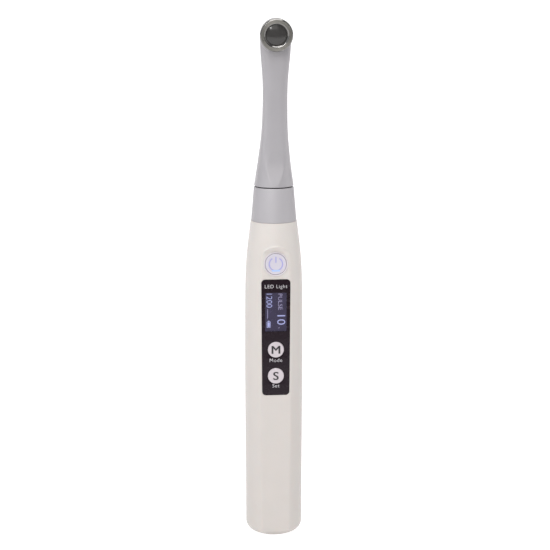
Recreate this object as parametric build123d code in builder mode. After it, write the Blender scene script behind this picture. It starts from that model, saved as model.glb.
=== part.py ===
"""Cordless dental curing light: a pen-shaped handle with a swivelling light neck."""

from build123d import *
from math import cos, radians, sin
import os

os.makedirs("parts", exist_ok=True)

# ------------------------------------------------------------------------------------
# Driving dimensions, in millimetres
# ------------------------------------------------------------------------------------
# +Z runs up the handle, the display faces -Y, and the origin is on the handle's axis
# at the base face, so the light stands on the plane z = 0.

# Handle
BASE_FLAT_R = 10.0  # radius of the flat that the light stands on
BASE_EDGE_R = 4.0  # rounding of the bottom edge
FOOT_R = BASE_FLAT_R + BASE_EDGE_R  # radius of the handle above that rounding
WAIST_R = 14.2  # radius of the handle near the height where it is widest
WAIST_Z = 60.0
PANEL_BAND_R = 14.08  # radius of the handle beside the display
PANEL_BAND_Z = 118.0
BUTTON_BAND_R = 13.25  # radius of the handle beside the power button
BUTTON_BAND_Z = 141.0
SHOULDER_R = 11.25  # radius of the white housing under the collar
SHOULDER_Z = 158.4  # where the white housing ends and the collar begins
WALL = 2.0  # housing wall
CAVITY_TOP_R = 9.5  # where the cavity narrows towards the collar
CAVITY_TOP_Z = 156.0
CREASE_R = 0.6  # rounding where the front flat meets the round housing

# Front flat, vertical up to FLAT_TOP_Z and then leaning back along a large arc
FLAT_Y = -12.2
FLAT_TOP_Z = 118.0
FLAT_END_Y = -10.95
FLAT_END_Z = 150.0
FLAT_WALL = 1.8  # housing wall behind the front flat
ARCH_R = 7.4  # half width and end radius of the front relief
ARCH_CENTRE_Z = 139.9

# Base
FLOOR_TOP_Z = 4.2
CAP_R = 8.7
CAP_THICK = 2.0
CAP_GAP = 0.1
CAP_SCREW_Y = 6.6
CHARGE_PIN_X = 3.0
CHARGE_PIN_Y = -3.0
CHARGE_PIN_R = 1.1

# Collar and swivel
SPIGOT_TOP_Z = 161.4  # top of the ring that both shells form inside the collar
SPIGOT_R = 9.2
SPIGOT_BORE_R = 7.8
COLLAR_TOP_Z = 174.85
COLLAR_TOP_R = 9.65
COLLAR_FOOT_R = 11.0
COLLAR_WEB_Z = 163.0
BUSH_R = 6.5
SHAFT_R = 5.0
RUNNING_GAP = 0.05  # radial clearance of the shaft in its bush
SHAFT_BORE_R = 2.5
SHAFT_FOOT_Z = 159.6
SHAFT_TOP_Z = 180.0
NECK_FOOT_Z = 175.35
CLIP_Z = 160.5
CLIP_THICK = 0.8
O_RING_Z = 168.0
O_RING_R = 4.6
O_RING_SECTION_R = 0.42

# Slip ring that carries the current across the swivel
CORE_R = 4.0
CORE_FOOT_Z = 146.5
RING_R = 4.3
RING_WIDTH = 2.0
RING_PITCH = 3.2
RING_COUNT = 3
FIRST_RING_Z = 148.2

# Head
HEAD_TILT = 11.0  # degrees that the light points below the horizontal
HEAD_Y = -15.0
HEAD_Z = 247.0
HEAD_R = 7.3
BEZEL_R = 7.7
BEZEL_OPENING_R = 5.1
BEZEL_FLARE = 0.7  # width of the polished chamfer round the lens
HEAD_POCKET_R = 6.4
LENS_R = 5.65
NECK_BORE_R = 1.8

# Controls
PANEL_FOOT_Z = 73.65
PANEL_TOP_Z = 131.2
PANEL_FOOT_WIDTH = 13.0
PANEL_TOP_WIDTH = 13.85
PANEL_CORNER_R = 1.7
PANEL_PROUD = 0.1
PANEL_RECESS = 1.0
SCREEN_WIDTH = 10.6
SCREEN_HEIGHT = 19.4
SCREEN_Z = 115.2
MODE_Z = 96.5
SET_Z = 83.3
KEY_R = 4.05
KEY_FLANGE_R = 4.6
KEY_HOLE_R = 4.15
POWER_Z = 138.9
POWER_RING_R = 5.85
POWER_CAP_R = 5.1
POWER_BORE_R = 5.2
POWER_FLANGE_R = 6.0

# Layers behind the front flat, as distances in front of the handle's axis
KEY_STEM_END = 8.5
DISPLAY_FRAME_BACK = 8.7
FRONT_TOOL_FOOT = 9.0  # where the tools that cut the front flat begin
FRONT_TOOL_DEPTH = 6.0
DISPLAY_BACK = 10.3
KEY_FLANGE_BACK = 10.6
DISPLAY_FACE = 10.9
KEY_FLANGE_FACE = 11.1
KEY_FACE = 12.55

# Electronics
BOARD_FRONT_Y = -7.2
BOARD_THICK = 1.0
BOARD_BACK_Y = BOARD_FRONT_Y + BOARD_THICK
BOARD_FOOT_Z = 75.0
BOARD_TOP_Z = 144.0
BOARD_HALF_WIDTH = 7.8
BOARD_SCREW_X = 4.5
BOARD_SCREW_ZS = (76.6, 131.2)
CELL_R = 9.2
CELL_FOOT_Z = 8.0
CELL_LENGTH = 65.0
CELL_TOP_Z = CELL_FOOT_Z + CELL_LENGTH
LEAD_R = 0.45

head_plane = Plane(
    origin=(0, HEAD_Y, HEAD_Z),
    x_dir=(1, 0, 0),
    z_dir=(0, -cos(radians(HEAD_TILT)), -sin(radians(HEAD_TILT))),
)


def flat_arc_radius():
    """Radius of the arc along which the front flat leans back."""
    rise = FLAT_END_Z - FLAT_TOP_Z
    lean = FLAT_END_Y - FLAT_Y
    return (rise**2 + lean**2) / (2 * lean)


def flat_y(z):
    """Depth of the front flat at height z."""
    if z <= FLAT_TOP_Z:
        return FLAT_Y
    radius = flat_arc_radius()
    return FLAT_Y + radius - (radius**2 - (z - FLAT_TOP_Z) ** 2) ** 0.5


def flat_lean(z):
    """Sine of the angle by which the front flat leans back at height z."""
    return max(0.0, z - FLAT_TOP_Z) / flat_arc_radius()


power_plane = Plane(
    origin=(0, flat_y(POWER_Z), POWER_Z),
    x_dir=(1, 0, 0),
    z_dir=(0, -((1 - flat_lean(POWER_Z) ** 2) ** 0.5), flat_lean(POWER_Z)),
)


def front_space(inset, arch_radius):
    """The space in front of the front flat moved inwards by inset, under an arch."""
    radius = flat_arc_radius() - inset
    top = Vector(FLAT_Y + inset + radius, FLAT_TOP_Z)
    rise = FLAT_END_Z - FLAT_TOP_Z
    end_y = top.X - (radius**2 - rise**2) ** 0.5
    with BuildPart() as space:
        with BuildSketch(Plane.YZ):
            with BuildLine():
                Line((FLAT_Y + inset, -1), (FLAT_Y + inset, FLAT_TOP_Z))
                TangentArc((FLAT_Y + inset, FLAT_TOP_Z), (end_y, FLAT_END_Z), tangent=(0, 1))
                Polyline((end_y, FLAT_END_Z), (-20, FLAT_END_Z), (-20, -1), (FLAT_Y + inset, -1))
            make_face()
        extrude(amount=20, both=True)
        with BuildSketch(Plane.XZ):
            with BuildLine():
                Polyline(
                    (arch_radius, ARCH_CENTRE_Z),
                    (arch_radius, -1),
                    (-arch_radius, -1),
                    (-arch_radius, ARCH_CENTRE_Z),
                )
                ThreePointArc(
                    (-arch_radius, ARCH_CENTRE_Z),
                    (0, ARCH_CENTRE_Z + arch_radius),
                    (arch_radius, ARCH_CENTRE_Z),
                )
            make_face()
        extrude(amount=25, mode=Mode.INTERSECT)
    return space.part


def half_handle(turn_axis):
    """Solid half of the white housing, swept half a turn from the +X side about turn_axis."""
    with BuildPart() as form:
        with BuildSketch(Plane.XZ):
            with BuildLine():
                Line((0, 0), (BASE_FLAT_R, 0))
                TangentArc((BASE_FLAT_R, 0), (FOOT_R, BASE_EDGE_R), tangent=(1, 0))
                Spline(
                    (FOOT_R, BASE_EDGE_R),
                    (WAIST_R, WAIST_Z),
                    (PANEL_BAND_R, PANEL_BAND_Z),
                    (BUTTON_BAND_R, BUTTON_BAND_Z),
                    (SHOULDER_R, SHOULDER_Z),
                    tangents=((0, 1), (-0.12, 1)),
                )
                Polyline(
                    (SHOULDER_R, SHOULDER_Z),
                    (SPIGOT_R, SHOULDER_Z),
                    (SPIGOT_R, SPIGOT_TOP_Z),
                    (0, SPIGOT_TOP_Z),
                    (0, 0),
                )
            make_face()
        revolve(axis=turn_axis, revolution_arc=180)
    return form.part


def handle_cavity():
    """Inside of the white housing, both shells together."""
    relief = front_space(FLAT_WALL, ARCH_R + 1.5)
    with BuildPart() as cavity:
        with BuildSketch(Plane.YZ):
            with BuildLine():
                Line((0, FLOOR_TOP_Z), (FOOT_R - WALL, FLOOR_TOP_Z))
                Spline(
                    (FOOT_R - WALL, FLOOR_TOP_Z),
                    (WAIST_R - WALL, WAIST_Z),
                    (PANEL_BAND_R - WALL, PANEL_BAND_Z),
                    (BUTTON_BAND_R - WALL, BUTTON_BAND_Z),
                    (CAVITY_TOP_R, CAVITY_TOP_Z),
                    tangents=((0, 1), (-0.12, 1)),
                )
                Polyline(
                    (CAVITY_TOP_R, CAVITY_TOP_Z),
                    (SPIGOT_BORE_R, CAVITY_TOP_Z + 1.6),
                    (SPIGOT_BORE_R, SPIGOT_TOP_Z + 1),
                    (0, SPIGOT_TOP_Z + 1),
                    (0, FLOOR_TOP_Z),
                )
            make_face()
        revolve(axis=Axis.Z)
        add(relief, mode=Mode.SUBTRACT)
    return cavity.part


def panel_blank(growth, front_inset, back_inset):
    """Outline of the control panel grown by growth, between two insets from the flat."""
    in_front_of_face = front_space(front_inset, ARCH_R + 2)
    in_front_of_back = front_space(back_inset, ARCH_R + 2)
    with BuildPart() as blank:
        with BuildSketch(Plane.XZ.offset(FRONT_TOOL_FOOT)):
            with BuildLine():
                Polyline(
                    (-PANEL_FOOT_WIDTH / 2, PANEL_FOOT_Z),
                    (PANEL_FOOT_WIDTH / 2, PANEL_FOOT_Z),
                    (PANEL_TOP_WIDTH / 2, PANEL_TOP_Z),
                    (-PANEL_TOP_WIDTH / 2, PANEL_TOP_Z),
                    close=True,
                )
            make_face()
            fillet(vertices(), PANEL_CORNER_R)
            offset(amount=growth)
        extrude(amount=FRONT_TOOL_DEPTH)
        add(in_front_of_back, mode=Mode.INTERSECT)
        add(in_front_of_face, mode=Mode.SUBTRACT)
    return blank.part


def wire(route, radius, bends):
    """A round lead along straight runs joined by tangent arcs."""
    with BuildPart() as lead:
        with BuildLine() as path:
            FilletPolyline(*route, radius=bends)
        with BuildSketch(Plane(origin=path.line @ 0, z_dir=path.line % 0)):
            Circle(radius)
        sweep()
    return lead.part


# ------------------------------------------------------------------------------------
# Handle housing
# ------------------------------------------------------------------------------------
housing_cavity = handle_cavity()
front_half = half_handle(Axis((0, 0, 0), (0, 0, -1)))
front_relief = front_space(0, ARCH_R)
panel_recess = panel_blank(0.06, -2, PANEL_RECESS)

with BuildPart() as front_shell:
    add(front_half)
    add(front_relief, mode=Mode.SUBTRACT)
    crease = [e for e in edges() if e.center().Y < -11 and 0.5 < e.center().Z < 150]
    fillet(crease, CREASE_R)
    add(housing_cavity, mode=Mode.SUBTRACT)
    # pocket for the base cap
    with BuildSketch(Plane.XY):
        Circle(CAP_R + CAP_GAP)
    extrude(amount=CAP_THICK, mode=Mode.SUBTRACT)
    # pilot hole of one cap screw and holes of the charging pins
    with BuildSketch(Plane.XY):
        with Locations((0, -CAP_SCREW_Y)):
            Circle(0.8)
        with Locations((-CHARGE_PIN_X, CHARGE_PIN_Y), (CHARGE_PIN_X, CHARGE_PIN_Y)):
            Circle(CHARGE_PIN_R + 0.05)
    extrude(amount=FLOOR_TOP_Z, mode=Mode.SUBTRACT)
    # recess of the control panel, and the openings behind it
    add(panel_recess, mode=Mode.SUBTRACT)
    with BuildSketch(Plane.XZ.offset(FRONT_TOOL_FOOT)):
        with Locations((0, SCREEN_Z)):
            Rectangle(SCREEN_WIDTH + 1.0, SCREEN_HEIGHT + 1.0)
        with Locations((0, MODE_Z), (0, SET_Z)):
            Circle(KEY_FLANGE_R + 0.2)
    extrude(amount=FRONT_TOOL_DEPTH, mode=Mode.SUBTRACT)
    # hole of the power button's ring
    with BuildSketch(power_plane.offset(2)):
        Circle(POWER_RING_R + 0.03)
    extrude(amount=-6, mode=Mode.SUBTRACT)
    # bosses that carry the circuit board
    boss_places = [(x, z) for x in (-BOARD_SCREW_X, BOARD_SCREW_X) for z in BOARD_SCREW_ZS]
    with BuildSketch(Plane.XZ.offset(-BOARD_FRONT_Y)):
        with Locations(*boss_places):
            Circle(1.6)
            Circle(0.7, mode=Mode.SUBTRACT)
    extrude(amount=-FLAT_Y - FLAT_WALL + BOARD_FRONT_Y + 0.2)
front_shell.part.label = "front_shell"
export_step(front_shell.part, "parts/front_shell.step")

rear_half = half_handle(Axis.Z)
with BuildPart() as rear_shell:
    add(rear_half)
    add(housing_cavity, mode=Mode.SUBTRACT)
    with BuildSketch(Plane.XY):
        Circle(CAP_R + CAP_GAP)
    extrude(amount=CAP_THICK, mode=Mode.SUBTRACT)
    with BuildSketch(Plane.XY):
        with Locations((0, CAP_SCREW_Y)):
            Circle(0.8)
    extrude(amount=FLOOR_TOP_Z, mode=Mode.SUBTRACT)
rear_shell.part.label = "rear_shell"
export_step(rear_shell.part, "parts/rear_shell.step")

# ------------------------------------------------------------------------------------
# Base
# ------------------------------------------------------------------------------------
with BuildPart() as base_cap:
    with BuildSketch(Plane.XY):
        Circle(CAP_R)
    extrude(amount=CAP_THICK)
    chamfer(edges().group_by(Axis.Z)[0], 0.3)
    with Locations(Plane.XY.rotated((180, 0, 0))):
        with Locations((0, -CAP_SCREW_Y), (0, CAP_SCREW_Y)):
            CounterSinkHole(radius=0.9, counter_sink_radius=1.7, counter_sink_angle=90)
    with BuildSketch(Plane.XY):
        with Locations((-CHARGE_PIN_X, CHARGE_PIN_Y), (CHARGE_PIN_X, CHARGE_PIN_Y)):
            Circle(CHARGE_PIN_R + 0.03)
    extrude(amount=CAP_THICK, mode=Mode.SUBTRACT)
base_cap.part.label = "base_cap"
export_step(base_cap.part, "parts/base_cap.step")

with BuildPart() as cap_screw:
    with BuildSketch(Plane.XZ):
        Polygon((0, 0.15), (1.5, 0.15), (0.75, 0.9), (0.75, 3.9), (0, 3.9), align=None)
    revolve(axis=Axis.Z)
    with BuildSketch(Plane.XY.offset(0.15)):
        RectangleRounded(1.6, 0.36, 0.1)
        RectangleRounded(0.36, 1.6, 0.1)
    extrude(amount=0.5, mode=Mode.SUBTRACT)
with BuildPart() as cap_screws:
    with Locations((0, -CAP_SCREW_Y, 0), (0, CAP_SCREW_Y, 0)):
        add(cap_screw.part)
cap_screws.part.label = "cap_screws"
export_step(cap_screws.part, "parts/cap_screws.step")

with BuildPart() as charge_pins:
    with BuildSketch(Plane.XY.offset(0.1)):
        with Locations((-CHARGE_PIN_X, CHARGE_PIN_Y), (CHARGE_PIN_X, CHARGE_PIN_Y)):
            Circle(CHARGE_PIN_R)
    extrude(amount=5.0)
    chamfer(edges().group_by(Axis.Z)[0], 0.15)
    with BuildSketch(Plane.XY.offset(FLOOR_TOP_Z)):
        with Locations((-CHARGE_PIN_X, CHARGE_PIN_Y), (CHARGE_PIN_X, CHARGE_PIN_Y)):
            Circle(1.7)
    extrude(amount=0.5)
charge_pins.part.label = "charge_pins"
export_step(charge_pins.part, "parts/charge_pins.step")

# ------------------------------------------------------------------------------------
# Battery and its cradle
# ------------------------------------------------------------------------------------
with BuildPart() as battery_cell:
    with BuildSketch(Plane.XY.offset(CELL_FOOT_Z)):
        Circle(CELL_R)
    extrude(amount=CELL_LENGTH - 1.2)
    fillet(edges(), 0.6)
    with BuildSketch(Plane.XY.offset(CELL_TOP_Z - 1.2)):
        Circle(3.0)
    extrude(amount=1.2)
battery_cell.part.label = "battery_cell"
export_step(battery_cell.part, "parts/battery_cell.step")

with BuildPart() as battery_pad:
    with BuildSketch(Plane.XY.offset(CELL_FOOT_Z - 2.0)):
        Circle(8.4)
        Rectangle(5, 5, mode=Mode.SUBTRACT)
        # slot that the lower lead leaves through
        with Locations((-5, 2)):
            Rectangle(10, 1.2, mode=Mode.SUBTRACT)
    extrude(amount=1.8)
battery_pad.part.label = "battery_pad"
export_step(battery_pad.part, "parts/battery_pad.step")

with BuildPart() as battery_tabs:
    with BuildSketch(Plane.XY.offset(CELL_TOP_Z)):
        Rectangle(5, 8)
    extrude(amount=0.15)
    with BuildSketch(Plane.XY.offset(CELL_FOOT_Z - 0.15)):
        Rectangle(4.6, 4.6)
    extrude(amount=0.15)
battery_tabs.part.label = "battery_tabs"
export_step(battery_tabs.part, "parts/battery_tabs.step")

with BuildPart() as battery_cradle:
    with BuildSketch(Plane.XY.offset(CELL_FOOT_Z)):
        Circle(11.2)
        Circle(CELL_R + 0.15, mode=Mode.SUBTRACT)
        with Locations((0, -8.5)):
            Rectangle(30, 22, mode=Mode.SUBTRACT)
    extrude(amount=CELL_LENGTH)
    # windows that leave ribs round the cell
    with BuildSketch(Plane.XZ.offset(-12)):
        with GridLocations(0, 15.5, 1, 4, align=(Align.CENTER, Align.CENTER)):
            with Locations((0, CELL_FOOT_Z + CELL_LENGTH / 2)):
                RectangleRounded(9, 11, 2)
    extrude(amount=6, mode=Mode.SUBTRACT)
battery_cradle.part.label = "battery_cradle"
export_step(battery_cradle.part, "parts/battery_cradle.step")

# ------------------------------------------------------------------------------------
# Circuit board and what it carries
# ------------------------------------------------------------------------------------
with BuildPart() as main_board:
    with BuildSketch(Plane.XZ.offset(-BOARD_FRONT_Y - BOARD_THICK)):
        with BuildLine():
            Polyline(
                (-BOARD_HALF_WIDTH, BOARD_FOOT_Z),
                (BOARD_HALF_WIDTH, BOARD_FOOT_Z),
                (BOARD_HALF_WIDTH, 134),
                (6.4, 138),
                (6.4, BOARD_TOP_Z),
                (-6.4, BOARD_TOP_Z),
                (-6.4, 138),
                (-BOARD_HALF_WIDTH, 134),
                close=True,
            )
        make_face()
        with Locations(*boss_places):
            Circle(0.75, mode=Mode.SUBTRACT)
    extrude(amount=BOARD_THICK)
main_board.part.label = "main_board"
export_step(main_board.part, "parts/main_board.step")

with BuildPart() as board_screws:
    for x, z in boss_places:
        with BuildSketch(Plane.XZ.offset(-BOARD_BACK_Y)):
            with Locations((x, z)):
                Circle(0.65)
        extrude(amount=3.2)
        with BuildSketch(Plane.XZ.offset(-BOARD_BACK_Y)):
            with Locations((x, z)):
                Circle(1.4)
        extrude(amount=-0.9)
        with BuildSketch(Plane.XZ.offset(-BOARD_BACK_Y - 0.9)):
            with Locations((x, z)):
                Rectangle(1.6, 0.35)
                Rectangle(0.35, 1.6)
        extrude(amount=0.45, mode=Mode.SUBTRACT)
board_screws.part.label = "board_screws"
export_step(board_screws.part, "parts/board_screws.step")

with BuildPart() as tact_switches:
    for z in (POWER_Z, MODE_Z, SET_Z):
        with BuildSketch(Plane.XZ.offset(-BOARD_FRONT_Y)):
            with Locations((0, z)):
                RectangleRounded(4.2, 4.2, 0.4)
        extrude(amount=0.65)
        with BuildSketch(Plane.XZ.offset(-BOARD_FRONT_Y + 0.65)):
            with Locations((0, z)):
                Circle(1.0)
        extrude(amount=0.2)
tact_switches.part.label = "tact_switches"
export_step(tact_switches.part, "parts/tact_switches.step")

with BuildPart() as status_leds:
    with BuildSketch(Plane.XZ.offset(-BOARD_FRONT_Y)):
        with Locations((-3.3, POWER_Z - 1), (3.3, POWER_Z - 1)):
            Rectangle(0.9, 1.6)
    extrude(amount=0.7)
status_leds.part.label = "status_leds"
export_step(status_leds.part, "parts/status_leds.step")


def board_component(x, z, width, height, depth, corner):
    """A flat-backed component standing on the rear of the main board."""
    with BuildPart() as component:
        with BuildSketch(Plane.XZ.offset(-BOARD_BACK_Y)):
            with Locations((x, z)):
                Rectangle(width, height)
        extrude(amount=-depth)
        fillet(edges().filter_by(Axis.Y), corner)
    return component.part


controller_chip = board_component(0, 118, 7, 7, 1.0, 0.2)
controller_chip.label = "controller_chip"
export_step(controller_chip, "parts/controller_chip.step")

driver_chip = board_component(-3.4, 99, 4, 5, 1.4, 0.2)
driver_chip.label = "driver_chip"
export_step(driver_chip, "parts/driver_chip.step")

power_coil = board_component(2.8, 99, 6.2, 6.2, 3.0, 1.2)
power_coil.label = "power_coil"
export_step(power_coil, "parts/power_coil.step")

lead_socket = board_component(0, 80.5, 8, 4, 3.8, 0.2)
lead_socket.label = "lead_socket"
export_step(lead_socket, "parts/lead_socket.step")

with BuildPart() as capacitors:
    with BuildSketch(Plane.XZ.offset(-BOARD_BACK_Y)):
        with GridLocations(3.2, 0, 4, 1):
            with Locations((0, 108)):
                RectangleRounded(1.6, 3.2, 0.1)
        with Locations((-5.2, 118), (5.2, 118)):
            RectangleRounded(1.25, 2.0, 0.1)
    extrude(amount=-1.3)
capacitors.part.label = "capacitors"
export_step(capacitors.part, "parts/capacitors.step")

with BuildPart() as buzzer:
    with BuildSketch(Plane.XZ.offset(-BOARD_BACK_Y)):
        with Locations((0, 127.5)):
            Circle(4.0)
            Circle(0.8, mode=Mode.SUBTRACT)
    extrude(amount=-3.2)
buzzer.part.label = "buzzer"
export_step(buzzer.part, "parts/buzzer.step")

# ------------------------------------------------------------------------------------
# Display and control panel
# ------------------------------------------------------------------------------------
with BuildPart() as control_panel:
    add(panel_blank(0, -PANEL_PROUD, PANEL_RECESS))
    with BuildSketch(Plane.XZ.offset(FRONT_TOOL_FOOT)):
        with Locations((0, SCREEN_Z)):
            Rectangle(SCREEN_WIDTH + 0.1, SCREEN_HEIGHT + 0.1)
        with Locations((0, MODE_Z), (0, SET_Z)):
            Circle(KEY_HOLE_R)
    extrude(amount=FRONT_TOOL_DEPTH, mode=Mode.SUBTRACT)
control_panel.part.label = "control_panel"
export_step(control_panel.part, "parts/control_panel.step")

with BuildPart() as display_window:
    with BuildSketch(Plane.XZ.offset(FRONT_TOOL_FOOT)):
        with Locations((0, SCREEN_Z)):
            Rectangle(SCREEN_WIDTH, SCREEN_HEIGHT)
    extrude(amount=FRONT_TOOL_DEPTH)
    add(panel_blank(0, -PANEL_PROUD + 0.05, PANEL_RECESS), mode=Mode.INTERSECT)
display_window.part.label = "display_window"
export_step(display_window.part, "parts/display_window.step")

with BuildPart() as display_glass:
    with BuildSketch(Plane.XZ.offset(DISPLAY_BACK)):
        with Locations((0, SCREEN_Z)):
            Rectangle(SCREEN_WIDTH + 0.7, SCREEN_HEIGHT + 0.7)
    extrude(amount=DISPLAY_FACE - DISPLAY_BACK)
display_glass.part.label = "display_glass"
export_step(display_glass.part, "parts/display_glass.step")

with BuildPart() as display_frame:
    with BuildSketch(Plane.XZ.offset(DISPLAY_FRAME_BACK)):
        with Locations((0, SCREEN_Z)):
            RectangleRounded(12.0, 24.0, 0.4)
    extrude(amount=DISPLAY_BACK - DISPLAY_FRAME_BACK)
display_frame.part.label = "display_frame"
export_step(display_frame.part, "parts/display_frame.step")

with BuildPart() as display_pad:
    with BuildSketch(Plane.XZ.offset(-BOARD_FRONT_Y)):
        with Locations((0, SCREEN_Z)):
            RectangleRounded(10.0, 20.0, 0.5)
    extrude(amount=DISPLAY_FRAME_BACK + BOARD_FRONT_Y)
display_pad.part.label = "display_pad"
export_step(display_pad.part, "parts/display_pad.step")

with BuildPart() as display_ribbon:
    with BuildSketch(Plane.YZ):
        with BuildLine() as ribbon_path:
            FilletPolyline(
                (-9.4, SCREEN_Z - 12.15),
                (-9.4, SCREEN_Z - 14.2),
                (BOARD_FRONT_Y - 0.1, SCREEN_Z - 14.2),
                (BOARD_FRONT_Y - 0.1, SCREEN_Z - 12.2),
                radius=0.7,
            )
            offset(amount=0.08, side=Side.BOTH)
        make_face()
    extrude(amount=2.5, both=True)
display_ribbon.part.label = "display_ribbon"
export_step(display_ribbon.part, "parts/display_ribbon.step")

with BuildPart() as power_ring:
    with BuildSketch(power_plane.offset(-FLAT_WALL)):
        Circle(POWER_RING_R)
        Circle(POWER_BORE_R, mode=Mode.SUBTRACT)
    extrude(amount=FLAT_WALL + 0.35)
    fillet(edges().group_by(Axis.Y)[0], 0.15)
power_ring.part.label = "power_ring"
export_step(power_ring.part, "parts/power_ring.step")

# ------------------------------------------------------------------------------------
# Keys: each one slides inwards onto its switch
# ------------------------------------------------------------------------------------
with BuildPart() as power_button:
    with BuildSketch(power_plane.offset(-2.0)):
        Circle(POWER_CAP_R)
    extrude(amount=2.5)
    fillet(edges().group_by(Axis.Y)[0], 0.3)
    with BuildSketch(power_plane.offset(-2.5)):
        Circle(POWER_FLANGE_R)
    extrude(amount=0.5)
    with BuildSketch(power_plane.offset(-2.9)):
        Circle(1.3)
    extrude(amount=0.4)
power_button.part.label = "power_button"
export_step(power_button.part, "parts/power_button.step")


def panel_key(z):
    """A round key held behind the control panel by its flange."""
    with BuildPart() as key:
        with BuildSketch(Plane.XZ.offset(KEY_STEM_END)):
            with Locations((0, z)):
                Circle(1.3)
        extrude(amount=KEY_FLANGE_BACK - KEY_STEM_END)
        with BuildSketch(Plane.XZ.offset(KEY_FLANGE_BACK)):
            with Locations((0, z)):
                Circle(KEY_FLANGE_R)
        extrude(amount=KEY_FLANGE_FACE - KEY_FLANGE_BACK)
        with BuildSketch(Plane.XZ.offset(KEY_FLANGE_FACE)):
            with Locations((0, z)):
                Circle(KEY_R)
        extrude(amount=KEY_FACE - KEY_FLANGE_FACE)
        fillet(edges().group_by(Axis.Y)[0], 0.2)
    return key.part


mode_key = panel_key(MODE_Z)
mode_key.label = "mode_key"
export_step(mode_key, "parts/mode_key.step")

set_key = panel_key(SET_Z)
set_key.label = "set_key"
export_step(set_key, "parts/set_key.step")

# ------------------------------------------------------------------------------------
# Collar and swivel
# ------------------------------------------------------------------------------------
with BuildPart() as collar:
    with BuildSketch(Plane.XZ):
        Polygon(
            (SPIGOT_R + 0.05, SHOULDER_Z),
            (COLLAR_FOOT_R, SHOULDER_Z),
            (COLLAR_TOP_R, COLLAR_TOP_Z),
            (BUSH_R, COLLAR_TOP_Z),
            (BUSH_R, COLLAR_WEB_Z),
            (SPIGOT_R + 0.05, COLLAR_WEB_Z),
            align=None,
        )
        fillet(vertices().sort_by(Axis.X)[-2:], 0.35)
    revolve(axis=Axis.Z)
collar.part.label = "collar"
export_step(collar.part, "parts/collar.step")

with BuildPart() as swivel_bush:
    with BuildSketch(Plane.XZ):
        Polygon(
            (SHAFT_R + RUNNING_GAP, SPIGOT_TOP_Z + 0.05),
            (SPIGOT_R, SPIGOT_TOP_Z + 0.05),
            (SPIGOT_R, COLLAR_WEB_Z),
            (BUSH_R - 0.01, COLLAR_WEB_Z),
            (BUSH_R - 0.01, COLLAR_TOP_Z - 0.2),
            (SHAFT_R + RUNNING_GAP, COLLAR_TOP_Z - 0.2),
            align=None,
        )
    revolve(axis=Axis.Z)
swivel_bush.part.label = "swivel_bush"
export_step(swivel_bush.part, "parts/swivel_bush.step")

with BuildPart() as thrust_washer:
    with BuildSketch(Plane.XY.offset(COLLAR_TOP_Z)):
        Circle(8.6)
        Circle(SHAFT_R + 0.3, mode=Mode.SUBTRACT)
    extrude(amount=NECK_FOOT_Z - COLLAR_TOP_Z - 0.02)
thrust_washer.part.label = "thrust_washer"
export_step(thrust_washer.part, "parts/thrust_washer.step")

with BuildPart() as swivel_shaft:
    with BuildSketch(Plane.XZ):
        Polygon(
            (SHAFT_BORE_R, SHAFT_FOOT_Z),
            (SHAFT_R, SHAFT_FOOT_Z),
            (SHAFT_R, CLIP_Z),
            (SHAFT_R - 0.7, CLIP_Z),
            (SHAFT_R - 0.7, CLIP_Z + CLIP_THICK),
            (SHAFT_R, CLIP_Z + CLIP_THICK),
            (SHAFT_R, O_RING_Z - 0.55),
            (SHAFT_R - 0.85, O_RING_Z - 0.55),
            (SHAFT_R - 0.85, O_RING_Z + 0.55),
            (SHAFT_R, O_RING_Z + 0.55),
            (SHAFT_R, SHAFT_TOP_Z),
            (SHAFT_BORE_R, SHAFT_TOP_Z),
            align=None,
        )
    revolve(axis=Axis.Z)
swivel_shaft.part.label = "swivel_shaft"
export_step(swivel_shaft.part, "parts/swivel_shaft.step")

with BuildPart() as swivel_o_ring:
    with BuildSketch(Plane.XZ):
        with Locations((O_RING_R, O_RING_Z)):
            Circle(O_RING_SECTION_R)
    revolve(axis=Axis.Z)
swivel_o_ring.part.label = "swivel_o_ring"
export_step(swivel_o_ring.part, "parts/swivel_o_ring.step")

with BuildPart() as retaining_clip:
    with BuildSketch(Plane.XY.offset(CLIP_Z + 0.05)):
        Circle(6.4)
        Circle(SHAFT_R - 0.65, mode=Mode.SUBTRACT)
        with Locations((0, 6)):
            Rectangle(6, 8, mode=Mode.SUBTRACT)
    extrude(amount=CLIP_THICK - 0.1)
retaining_clip.part.label = "retaining_clip"
export_step(retaining_clip.part, "parts/retaining_clip.step")

# ------------------------------------------------------------------------------------
# Slip ring
# ------------------------------------------------------------------------------------
ring_heights = [FIRST_RING_Z + RING_PITCH * count for count in range(RING_COUNT)]

with BuildPart() as slip_core:
    with BuildSketch(Plane.XY.offset(CORE_FOOT_Z)):
        Circle(CORE_R)
    extrude(amount=SHAFT_FOOT_Z - CORE_FOOT_Z)
    with BuildSketch(Plane.XY.offset(SHAFT_FOOT_Z)):
        Circle(SHAFT_BORE_R - 0.05)
    extrude(amount=4.4)
slip_core.part.label = "slip_core"
export_step(slip_core.part, "parts/slip_core.step")

with BuildPart() as slip_rings:
    for z in ring_heights:
        with BuildSketch(Plane.XY.offset(z - RING_WIDTH / 2)):
            Circle(RING_R)
            Circle(CORE_R, mode=Mode.SUBTRACT)
        extrude(amount=RING_WIDTH)
slip_rings.part.label = "slip_rings"
export_step(slip_rings.part, "parts/slip_rings.step")

with BuildPart() as brush_block:
    with BuildSketch(Plane.XY.offset(147)):
        with Locations((0, 7.2)):
            Rectangle(6.4, 2.4)
    extrude(amount=9.0)
    fillet(edges().filter_by(Axis.Z), 0.4)
brush_block.part.label = "brush_block"
export_step(brush_block.part, "parts/brush_block.step")

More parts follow.
